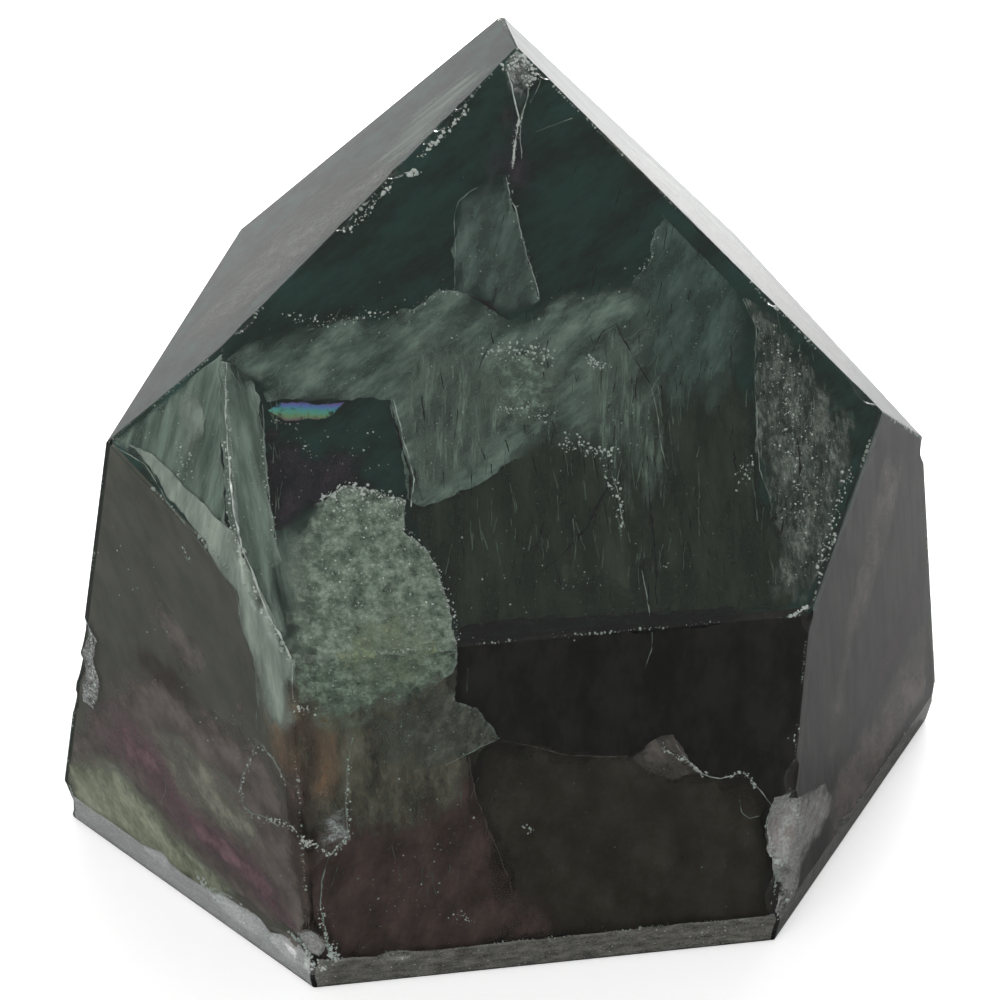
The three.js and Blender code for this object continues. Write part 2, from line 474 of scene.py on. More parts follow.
FINISHES = {
    "milky": healed_material(
        "milky_veil", (92, 107, 98), (46, 58, 53), 1.1, cover=0.97, cloud_size=1.6,
        patches=0.5, stretch=3.0, slant=1.0, grain=0.12, grain_size=0.3, specks=0.3, rim=0.4,
    ),
    "mist": healed_material(
        "mist_veil", (77, 91, 85), (46, 57, 53), 0.9, cover=0.9, cloud_size=1.4,
        patches=0.4, stretch=3.0, slant=0.5, grain=0.1, grain_size=0.3, specks=0.3, rim=0.6,
    ),
    "slate": healed_material(
        "slate_veil", (86, 90, 82), (56, 60, 54), 0.6, cover=0.85, cloud_size=1.2,
        patches=0.4, stretch=2.0, slant=0.5, grain=0.12, grain_size=0.3, specks=0.3, rim=0.6,
    ),
    "fibrous": healed_material(
        "fibrous_veil", (94, 108, 98), (44, 54, 47), 0.85, cover=0.8, cloud_size=0.6,
        patches=0.8, stretch=8.0, slant=0.14, grain=0.3, grain_size=0.14, specks=0.5, rim=0.0,
    ),
    "granular": healed_material(
        "granular_veil", (115, 126, 114), (57, 70, 59), 0.35, cover=1.0, cloud_size=1.0,
        patches=0.35, grain=0.24, grain_size=0.3, specks=0.7, rim=0.9,
    ),
    "sprout": healed_material(
        "sprout_veil", (118, 128, 106), (82, 94, 76), 0.3, cover=0.7, cloud_size=0.9,
        patches=0.7, grain=0.35, grain_size=0.3, specks=0.6, rim=0.0,
    ),
    "speckled": healed_material(
        "speckled_veil", (90, 96, 90), (42, 48, 43), 0.6, cover=0.9, cloud_size=1.0,
        patches=0.6, stretch=2.5, grain=0.35, grain_size=0.25, specks=0.7, rim=0.4,
    ),
    "dull": healed_material(
        "dull_veil", (46, 52, 45), (34, 39, 34), 1.5, cover=0.97, cloud_size=1.8,
        patches=0.2, stretch=4.0, slant=0.08, grain=0.05, grain_size=0.2, specks=-0.2, rim=0.0,
    ),
    "core_brown": healed_material(
        "core_brown", (60, 60, 54), (40, 42, 38), 0.5, solid=True, cloud_size=2.6,
        stretch=2.0, slant=0.4, grain=0.08, specks=-1.0, rim=0.0,
    ),
    "deep_green": healed_material(
        "deep_green_depths", (36, 51, 47), (25, 34, 32), 1.8, solid=True, cloud_size=2.6,
        stretch=2.5, slant=1.0, grain=0.06, specks=-1.0, rim=0.0,
    ),
    "pale_milk": healed_material(
        "pale_milk_veil", (126, 137, 127), (92, 102, 94), 0.4, cover=0.95, cloud_size=1.6,
        patches=0.25, stretch=5.0, slant=-0.15, grain=0.1, grain_size=0.3, specks=0.35, rim=0.5,
    ),
    "green_milk": healed_material(
        "green_milk_veil", (102, 115, 106), (58, 70, 63), 0.45, cover=0.95, cloud_size=0.9,
        patches=0.3, stretch=8.0, slant=-0.1, grain=0.08, grain_size=0.3, specks=0.35, rim=0.5,
    ),
    "moss": healed_material(
        "moss_veil", (93, 93, 82), (56, 56, 50), 0.9, cover=0.95, cloud_size=1.6,
        patches=0.45, stretch=2.5, grain=0.15, grain_size=0.3, specks=0.0, rim=0.1,
    ),
    "dusk": healed_material(
        "dusk_depths", (43, 43, 41), (32, 32, 31), 1.8, solid=True, cloud_size=3.0,
        stretch=2.0, grain=0.04, specks=-1.0, rim=0.0,
    ),
    # shade is painted shade: a near-black veil for the dark band along the edge below the slope.
    "shade": healed_material(
        "shade", (30, 31, 29), (26, 27, 25), 0.3, cover=0.9, cloud_size=1.5,
        patches=0.3, stretch=0.3, grain=0.1, specks=0.0, rim=0.0,
    ),
    "bark": healed_material(
        "bark_veil", (55, 54, 49), (45, 43, 39), 1.3, cover=0.95, cloud_size=3.2,
        patches=0.15, stretch=1.4, grain=0.04, grain_size=0.2, specks=-0.3, rim=0.0,
    ),
    "smoke": healed_material(
        "smoke_depths", (78, 78, 72), (64, 65, 60), 0.8, solid=True, cloud_size=2.4,
        stretch=2.0, slant=-0.6, grain=0.05, specks=-1.0, rim=0.0,
    ),
    "haze": healed_material(
        "haze_veil", (90, 88, 83), (62, 60, 57), 0.9, cover=0.8, cloud_size=2.0,
        patches=0.3, stretch=2.0, slant=-0.6, grain=0.06, specks=0.2, rim=0.0,
    ),
    "ash": healed_material(
        "ash_depths", (52, 51, 49), (20, 19, 20), 0.8, solid=True, cloud_size=1.8,
        stretch=6.0, slant=-0.25, grain=0.06, specks=-1.0, rim=0.0,
    ),
    "umber": healed_material(
        "umber_veil", (104, 97, 92), (78, 73, 70), 0.6, cover=0.95, cloud_size=2.4,
        patches=0.35, stretch=1.5, slant=-0.9, grain=0.06, specks=0.2, rim=0.0,
    ),
    "sage": healed_material(
        "sage_zone", (131, 129, 117), (97, 95, 88), 0.52, cover=0.9, cloud_size=2.0,
        patches=0.3, stretch=1.6, slant=-0.9, grain=0.06, specks=0.2, rim=0.0,
    ),
    "chipped": healed_material(
        "chipped_stone", (206, 199, 191), (124, 117, 113), 0.25, cover=1.0, cloud_size=1.0,
        patches=0.25, grain=0.3, grain_size=0.22, specks=0.9, rim=0.8,
    ),
    "green": healed_material(
        "green_zone", (142, 144, 126), (98, 101, 84), 0.4, cover=0.95, cloud_size=2.0,
        patches=0.2, stretch=2.0, slant=-0.9, grain=0.08, specks=0.2, rim=0.0,
    ),
    "purple": healed_material(
        "purple_zone", (112, 92, 96), (84, 69, 73), 0.45, cover=0.9, cloud_size=2.0,
        patches=0.3, stretch=1.6, slant=-0.9, grain=0.06, specks=0.15, rim=0.0,
    ),
    "plum": healed_material(
        "plum_zone", (48, 30, 40), (30, 18, 26), 0.5, cover=0.9, cloud_size=1.6,
        patches=0.3, stretch=3.0, slant=-0.4, grain=0.06, specks=0.15, rim=0.0,
    ),
    "violet": healed_material(
        "violet_haze", (52, 49, 53), (34, 34, 36), 1.4, cover=0.85, cloud_size=1.6,
        patches=0.5, stretch=1.6, slant=0.5, grain=0.12, specks=0.1, rim=0.0,
    ),
    "maroon": healed_material(
        "maroon_zone", (73, 63, 60), (53, 48, 45), 1.1, cover=0.97, cloud_size=2.4,
        patches=0.25, stretch=2.0, slant=0.3, grain=0.08, specks=-0.1, rim=0.0,
    ),
    "amber": healed_material(
        "amber_glow", (116, 100, 82), (88, 78, 67), 0.5, cover=0.75, cloud_size=1.8,
        patches=0.35, stretch=2.0, grain=0.08, specks=0.3, rim=0.0,
    ),
    "edge_brown": healed_material(
        "edge_brown_veil", (78, 70, 65), (60, 54, 50), 0.3, cover=0.9, cloud_size=1.4,
        patches=0.3, stretch=2.0, grain=0.1, specks=0.4, rim=0.0,
    ),
    "crushed": healed_material(
        "crushed_stone", (196, 193, 184), (104, 100, 96), 0.15, cover=0.95, cloud_size=0.8,
        patches=0.4, grain=0.5, grain_size=0.2, specks=1.3, rim=0.3,
    ),
    "ground": healed_material(
        "ground_rim", (112, 111, 106), (72, 71, 67), 0.08, cover=0.95, cloud_size=1.4,
        patches=0.2, stretch=0.4, grain=0.3, grain_size=0.2, specks=0.6, rim=0.2,
    ),
    # The left bevel's frost is painted light: a much paler copy of the ground frost.
    "worn": healed_material(
        "painted_light_frost", (235, 236, 224), (170, 172, 160), 0.08, cover=1.0, cloud_size=1.0,
        patches=0.2, stretch=0.4, grain=0.35, grain_size=0.2, specks=1.0, rim=0.4,
    ),
}
print("finishes for what lies inside:", ", ".join(FINISHES))

# %% [markdown]
# Threads and grains are too fine for a pattern of their own, so theirs are plain paints. A clean
# break along a crack turns light back before it gets any deeper, which shows as a dark line.

# %% Finishes for threads and grains
PLAIN = {
    "white": (0.86, 0.9, 0.85), "pale": (0.5, 0.56, 0.5), "faint": (0.24, 0.19, 0.18),
    "hair": (0.2, 0.25, 0.2), "dark": (0.012, 0.014, 0.012),
}
for name, colour in PLAIN.items():
    material, tree, shader = principled(name + "_break")
    shader.inputs["Base Color"].default_value = (*colour, 1)
    shader.inputs["Roughness"].default_value = 0.5
    shader.inputs["IOR"].default_value = HARDLY_BENT
    FINISHES[name] = material
print("finishes for threads and grains:", ", ".join(PLAIN))

# %% [markdown]
# Light that slips into the gap of a fresh crack is split into colours, like oil on water. It
# shows only where the gap is widest, as one small band from pink through green to blue.

# %% The rainbow in the crack
RAINBOW = [
    (0.0, (0.3, 0.2, 0.2)), (0.22, (0.24, 0.42, 0.2)), (0.5, (0.13, 0.5, 0.42)),
    (0.75, (0.15, 0.28, 0.62)), (1.0, (0.27, 0.14, 0.45)),
]
RAINBOW_FOOT = 19.95  # mm up the slope where the band starts, at the middle of the face
RAINBOW_SPAN = 1.25
RAINBOW_LEAN = 0.12
RAINBOW_RAGGED = 0.5
RAINBOW_GAPS = (0.3, 0.5)
RAINBOW_TURNS = 1.5
film, tree, shader = principled("rainbow_film")
film_map = face_map(tree)
film_split = tree.nodes.new("ShaderNodeSeparateXYZ")
put(tree, film_split.inputs[0], film_map)
ragged = noise_in(tree, film_map, RAINBOW_TURNS, detail=3)
climb = maths(tree, "MULTIPLY_ADD", film_split.outputs["X"], RAINBOW_LEAN, film_split.outputs["Y"])
band = maths(tree, "DIVIDE", maths(tree, "SUBTRACT", climb, RAINBOW_FOOT), RAINBOW_SPAN)
stray = maths(tree, "MULTIPLY_ADD", ragged, RAINBOW_RAGGED, -RAINBOW_RAGGED / 2)
band = maths(tree, "ADD", band, stray, clamp=True)
hues = tree.nodes.new("ShaderNodeValToRGB")
while len(hues.color_ramp.elements) < len(RAINBOW):
    hues.color_ramp.elements.new(0.5)
for stop, (place, colour) in zip(hues.color_ramp.elements, RAINBOW):
    stop.position = place
    stop.color = (*colour, 1)
put(tree, hues.inputs[0], band)
put(tree, shader.inputs["Base Color"], hues.outputs[0])
shown = maths(tree, "MULTIPLY", marked(tree, "cover"), spread(tree, ragged, *RAINBOW_GAPS))
put(tree, shader.inputs["Alpha"], shown)
shader.inputs["IOR"].default_value = HARDLY_BENT
FINISHES["rainbow"] = film
print("the rainbow has", len(RAINBOW), "hues")

# %% [markdown]
# ## The clear dark fluorite
# Fluorite bends light less than window glass does, and this one drinks it: red is lost fastest,
# then blue, so what is left is green. Loss over depth belongs to the volume, not to the surface,
# so that a thin tip stays lighter than the thick body. Faint polishing waves keep the mirror of
# each face from being perfect, and fine grit makes the fresh chips glitter.

# %% The stone's own material
BEND = 1.434
ABSORB = (360.0, 245.0, 270.0)  # share of red, green and blue lost per metre of stone
DENSITY = 400.0
POLISHED = 0.02  # roughness of a ground face, and what a fresh chip adds
CHIPPED = 0.12
POLISH_WAVES = 90.0  # per metre
CHIP_GRIT = 2200.0
GRIT_HEIGHT = 5.0
WAVE_STRENGTH = 0.25
WAVE_HEIGHT = 0.05 * MM
glass, tree, shader = principled("fluorite")
shader.inputs["Base Color"].default_value = (1, 1, 1, 1)
shader.inputs["Transmission Weight"].default_value = 1.0
shader.inputs["IOR"].default_value = BEND
roughness = maths(tree, "MULTIPLY_ADD", marked(tree, "chip"), CHIPPED, POLISHED)
put(tree, shader.inputs["Roughness"], roughness)
own_place = tree.nodes.new("ShaderNodeTexCoord").outputs["Object"]
waves = tree.nodes.new("ShaderNodeBump")
waves.inputs["Strength"].default_value = WAVE_STRENGTH
waves.inputs["Distance"].default_value = WAVE_HEIGHT
gentle = noise_in(tree, own_place, POLISH_WAVES, detail=3)
grit = maths(tree, "MULTIPLY", noise_in(tree, own_place, CHIP_GRIT, detail=3), marked(tree, "chip"))
put(tree, waves.inputs["Height"], maths(tree, "MULTIPLY_ADD", grit, GRIT_HEIGHT, gentle))
put(tree, shader.inputs["Normal"], waves.outputs[0])
depth_colour = tree.nodes.new("ShaderNodeVolumeAbsorption")
depth_colour.inputs["Color"].default_value = (*(1 - loss / DENSITY for loss in ABSORB), 1)
depth_colour.inputs["Density"].default_value = DENSITY
tree.links.new(depth_colour.outputs[0], tree.nodes["Material Output"].inputs["Volume"])
crystal_mesh.materials.clear()
crystal_mesh.materials.append(glass)
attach(crystal, "root")
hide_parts("fluorite_point")
print("light lost per metre:", ABSORB)

# %% [markdown]
# ## From the picture into the stone
# A point drawn in the camera's picture lies on a line of sight. Where that line meets the face it
# bends, as light does, and goes on to the depth where the crack lies. On the face itself, places
# are counted in millimetres: across to the right, and up the slope.

# %% Drawing in the camera's picture
PICTURE = 1000


def face_axes(face):
    normal, reach = FACES[face]
    across = Vector((0, 0, 1)).cross(normal).normalized()
    return across, normal.cross(across), normal, reach


def on_the_face(face, place):
    """How far across and up a face a place lies, in millimetres."""
    across, up, _, _ = face_axes(face)
    return Vector((place.dot(across), place.dot(up))) / MM


def seen_at(face, x, y, depth):
    """Where a point of the picture lies when it is seen through a face, at a depth below it."""
    half = PICTURE / 2
    spread_out = math.tan(FIELD_OF_VIEW / 2) / half
    sight = (EYE_TURN @ Vector(((x - half) * spread_out, (half - y) * spread_out, -1))).normalized()
    _, _, normal, reach = face_axes(face)
    entry = EYE + sight * ((reach - EYE.dot(normal)) / sight.dot(normal))
    steepness = -sight.dot(normal)
    straight_on = math.sqrt(1 - (1 - steepness**2) / BEND**2)
    bent = sight / BEND + normal * (steepness / BEND - straight_on)
    return on_the_face(face, entry + bent * depth * MM / straight_on)


def under(face, across, up, depth):
    """The place at a distance across and up a face, and a depth below it, in millimetres."""
    side, high, normal, reach = face_axes(face)
    return (side * across + high * up - normal * depth) * MM + normal * reach


# %% Staying inside the stone
CLEARANCE = 0.06
skin = bmesh.new()
skin.from_mesh(crystal_mesh)
skin_tree = BVHTree.FromBMesh(skin)
skin.free()


def kept_inside(place, clearance=CLEARANCE):
    """Moves a place inwards until it is a clearance below the skin, or as near as it can be."""
    for wanted in (clearance, clearance, CLEARANCE, CLEARANCE, CLEARANCE):
        spot, normal, _, _ = skin_tree.find_nearest(place)
        short = (place - spot).dot(normal) + wanted * MM
        if short > 0:
            place = place - normal * short
    return place


middle = Vector((0, 0, cad_box[1].z / 2))
from_skin = skin_tree.find_nearest(middle)[3]
print("the middle of the stone is", round(from_skin / MM, 1), "mm from its skin")

# %% [markdown]
# ## Sheets under the faces
# A healed crack is a thin, slightly wavy sheet at one depth below a face. Two sheets that crossed
# would show a hard line, so each has a depth of its own. It is drawn as a rim: points of the
# picture, and how crisp the rim is at each (1) or how it fades away (0). Between them the rim
# wanders a little. A mesh that fills the rim is the simplest body for it. Crispness is mixed over
# the sheet by nearness to the rim's points, and where the rim isn't crisp, the sheet only reaches
# its full cover some way in.

# %% A sheet's rim and filling
RIM_STEP = 0.35
GRID_STEP = 0.8
RIM_BAND = 0.2
COARSE_WANDER = 0.6  # turns of the rim's wandering, per millimetre
FINE_WANDER = 2.3
FINE_SHARE = 0.6
FINE_SEED = 9.5


def rough_rim(rim, stray, seed):
    """Short steps round the rim that wander to either side."""
    steps = []
    for here, there in zip(rim, rim[1:] + rim[:1]):
        start, end = Vector(here[:2]), Vector(there[:2])
        run = end - start
        side = Vector((-run.y, run.x)).normalized()
        count = max(1, round(run.length / RIM_STEP))
        for i in range(count):
            spot = start + run * i / count
            coarse = noise.noise(Vector((spot.x * COARSE_WANDER, spot.y * COARSE_WANDER, seed)))
            fine = noise.noise(Vector((spot.x * FINE_WANDER, spot.y * FINE_WANDER, seed + FINE_SEED)))
            steps.append(spot + side * stray * (coarse + FINE_SHARE * fine))
    return steps


def inside(spot, outline):
    """Whether a spot lies inside an outline, by counting the sides above it."""
    crossings = 0
    for a, b in zip(outline, outline[1:] + outline[:1]):
        if (a.x > spot.x) != (b.x > spot.x):
            at = a.y + (b.y - a.y) * (spot.x - a.x) / (b.x - a.x)
            crossings += at > spot.y
    return crossings % 2 == 1


NEARNESS = 0.02  # square millimetres; keeps the weight of a point on the spot itself within bounds


def mixed_from(rim, spot):
    """Crispness at a spot, mixed from the rim's points by nearness."""
    weights = [((spot.x - p[0]) ** 2 + (spot.y - p[1]) ** 2 + NEARNESS) ** -2 for p in rim]
    return sum(w * p[2] for w, p in zip(weights, rim)) / sum(weights)


CRISP_FROM = 0.9
FADE = 3.2  # millimetres from the rim to full cover, for each step that the rim lacks in crispness
LEAST_FADE = 0.25  # and the share of it that is left to the crispest rim


def line_at(crisp):
    """How strong the rim's painted highlight and cover are: none below the first crispness, full at
    1.
    """
    return max(0.0, (crisp - CRISP_FROM) / (1 - CRISP_FROM))


def covered(spot, outline, crisp):
    """How much of its cover a sheet has at a spot: less towards a rim that isn't crisp."""
    at_rim = line_at(crisp) ** 2
    inward = min(1.0, min((spot - p).length for p in outline) / (FADE * (1 + LEAST_FADE - crisp)))
    return at_rim + (1 - at_rim) * inward * inward * (3 - 2 * inward)


JITTER = 0.2  # of a grid step
SAME_SPOT = 1e-4
CONSTRAINED_INSIDE = 1  # keeps only the triangles that lie inside the rim


def sheet_plan(outline, seed):
    """Flat triangles that fill an outline: its rim, a ring just inside it, and a loose grid."""
    spots = list(outline)
    for before, here, after in zip([outline[-1]] + outline, outline, outline[1:] + [outline[0]]):
        run = (after - before).normalized()
        for side in (Vector((-run.y, run.x)), Vector((run.y, -run.x))):
            ring = here + side * RIM_BAND
            if inside(ring, outline):
                spots.append(ring)
    jitter = Random(seed)
    lows = Vector((min(p.x for p in outline), min(p.y for p in outline)))
    highs = Vector((max(p.x for p in outline), max(p.y for p in outline)))
    for row in range(int((highs.y - lows.y) / GRID_STEP) + 1):
        for column in range(int((highs.x - lows.x) / GRID_STEP) + 1):
            stray = Vector((jitter.uniform(-JITTER, JITTER), jitter.uniform(-JITTER, JITTER)))
            spot = lows + (Vector((column + row % 2 / 2, row)) + stray) * GRID_STEP
            if inside(spot, outline) and min((spot - p).length for p in outline) > RIM_BAND * 2:
                spots.append(spot)
    rim_face = [list(range(len(outline)))]
    plan = geometry.delaunay_2d_cdt(spots, [], rim_face, CONSTRAINED_INSIDE, SAME_SPOT)
    on_rim = [not sources or min(sources) < len(outline) for sources in plan[3]]
    return plan[0], plan[2], on_rim


# %% A sheet as a closed mesh
SHEET_THICKNESS = 0.04
WAVINESS = 0.08  # of its depth, up and down
WAVES_PER_MM = 0.22
OVERRUN = 0.4
NEAR_EDGE = 0.5


def finish_piece(piece, finish):
    """Gives a piece its finish, and ties it to the stone."""
    piece.data.materials.clear()
    piece.data.materials.append(FINISHES[finish])
    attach(piece, "root")
    return piece


def sheet(name, face, rim, finish, seed, depth, stray=0.3):
    """A closed thin sheet at a depth under a face, inside a rim of (across, up, crispness)."""
    outline = rough_rim(rim, stray, seed)
    spots, triangles, on_rim = sheet_plan(outline, seed)
    bm = bmesh.new()
    cover_mark = bm.verts.layers.float.new("cover")
    highlight_mark = bm.verts.layers.float.new("rim")
    map_layer = bm.loops.layers.uv.new("on_face")
    front = []
    back = []
    for spot, edge in zip(spots, on_rim):
        crisp = mixed_from(rim, spot)
        cover = covered(spot, outline, crisp)
        wave = noise.noise(Vector((spot.x * WAVES_PER_MM, spot.y * WAVES_PER_MM, seed)))
        for layer, made in enumerate((front, back)):
            deep = depth * (1 + WAVINESS * wave) + layer * SHEET_THICKNESS
            vert = bm.verts.new(kept_inside(under(face, *spot, deep), deep))
            vert[cover_mark] = cover
            # The rim mark carries the painted highlight along a crisp rim.
            vert[highlight_mark] = line_at(crisp) if edge else 0.0
            made.append(vert)
    for corners in triangles:
        bm.faces.new([front[i] for i in corners])
    twin = dict(zip(front, back))
    for edge in [edge for edge in bm.edges if edge.is_boundary]:
        start = edge.link_loops[0].vert
        end = edge.link_loops[0].link_loop_next.vert
        bm.faces.new((end, start, twin[start], twin[end]))
    for corners in triangles:
        bm.faces.new([back[i] for i in reversed(corners)])
    flat_place = dict(zip(front, spots)) | dict(zip(back, spots))
    for poly in bm.faces:
        poly.smooth = True
        for loop in poly.loops:
            loop[map_layer].uv = flat_place[loop.vert]
    return finish_piece(object_from(bm, name), finish)


def face_outline(face, inset):
    """The corners of a face, in millimetres on it, drawn in towards its middle."""
    flat = [on_the_face(face, corner) for corner in CORNERS[face]]
    centre = sum(flat, Vector((0, 0))) / len(flat)
    return [corner + (centre - corner).normalized() * inset for corner in flat]


def run_over(face, spot):
    """Where a rim reaches the edge of a face, it runs on past it and folds round the corner."""
    ring = face_outline(face, 0)
    centre = sum(ring, Vector((0, 0))) / len(ring)
    near = min(
        (spot - geometry.intersect_point_line(spot, a, b)[0].to_2d()).length
        for a, b in zip(ring, ring[1:] + ring[:1])
    )
    if near > NEAR_EDGE and inside(spot, ring):
        return spot
    return spot + (spot - centre).normalized() * OVERRUN


def drawn_sheets(sheets, first_seed):
    """Makes every sheet of a list that was drawn in the picture."""
    for seed, (name, (face, finish, depth, rim)) in enumerate(sheets.items(), first_seed):
        spots = [run_over(face, seen_at(face, x, y, depth)) for x, y, _ in rim]
        on_mm = [(*spot, crisp) for spot, (_, _, crisp) in zip(spots, rim)]
        made = sheet(name, face, on_mm, finish, seed, depth)
        print(f"{name}: {len(made.data.polygons)} faces")


# %% [markdown]
# Under all the sheets lies the core of the stone, too deep and dark to see into. It follows the
# faces, so the block is simply cut once more, a little smaller: deepest below the two large front
# faces, where most of the sheets lie. Each of its faces becomes a closed plate in the colour that
# the stone has on that side.

# %% The core
CORE_DEPTHS = {"tip_front": 1.8, "front": 1.8, "shoulder": 1.0, "left": 0.8, "right": 0.8}
ELSEWHERE = 0.5
CORE_FINISHES = {
    "tip_front": "deep_green", "shoulder": "deep_green", "tip_left": "deep_green",
    "tip_right": "deep_green", "front": "dusk", "left": "smoke", "right": "ash",
}


def plate(poly):
    """A closed flat plate that starts at a face of the core."""
    face = max(FACES, key=lambda name: FACES[name][0].dot(poly.normal))
    bm = bmesh.new()
    cover_mark = bm.verts.layers.float.new("cover")
    map_layer = bm.loops.layers.uv.new("on_face")
    corners = [vert.co for vert in poly.verts]
    top = [bm.verts.new(corner) for corner in corners]
    bottom = [bm.verts.new(corner - poly.normal * SHEET_THICKNESS * MM) for corner in corners]
    bm.faces.new(top)
    bm.faces.new(reversed(bottom))
    for i in range(len(top)):
        bm.faces.new((top[i], top[i - 1], bottom[i - 1], bottom[i]))
    for vert in bm.verts:
        vert[cover_mark] = 1.0
    for side in bm.faces:
        for loop in side.loops:
            loop[map_layer].uv = on_the_face(face, loop.vert.co)
    return finish_piece(object_from(bm, face + "_depths"), CORE_FINISHES.get(face, "core_brown"))


core = cut_block([
    (normal, reach - CORE_DEPTHS.get(name, ELSEWHERE) * MM) for name, (normal, reach) in FACES.items()
])
plates = [plate(poly) for poly in core.faces]
core.free()
print("the core has", len(plates), "plates")

# %% [markdown]
# ## The front slope
# The core below the slope is dark green. Over it hang the milky clouds: a narrow shard near the
# tip, a wide band from edge to edge, a frosty patch with a crisp rim on the left, and a long
# grainy strip on the right. The middle stays dull and dark. Each line below names the face, the
# finish and the depth in millimetres, and then goes round the rim.

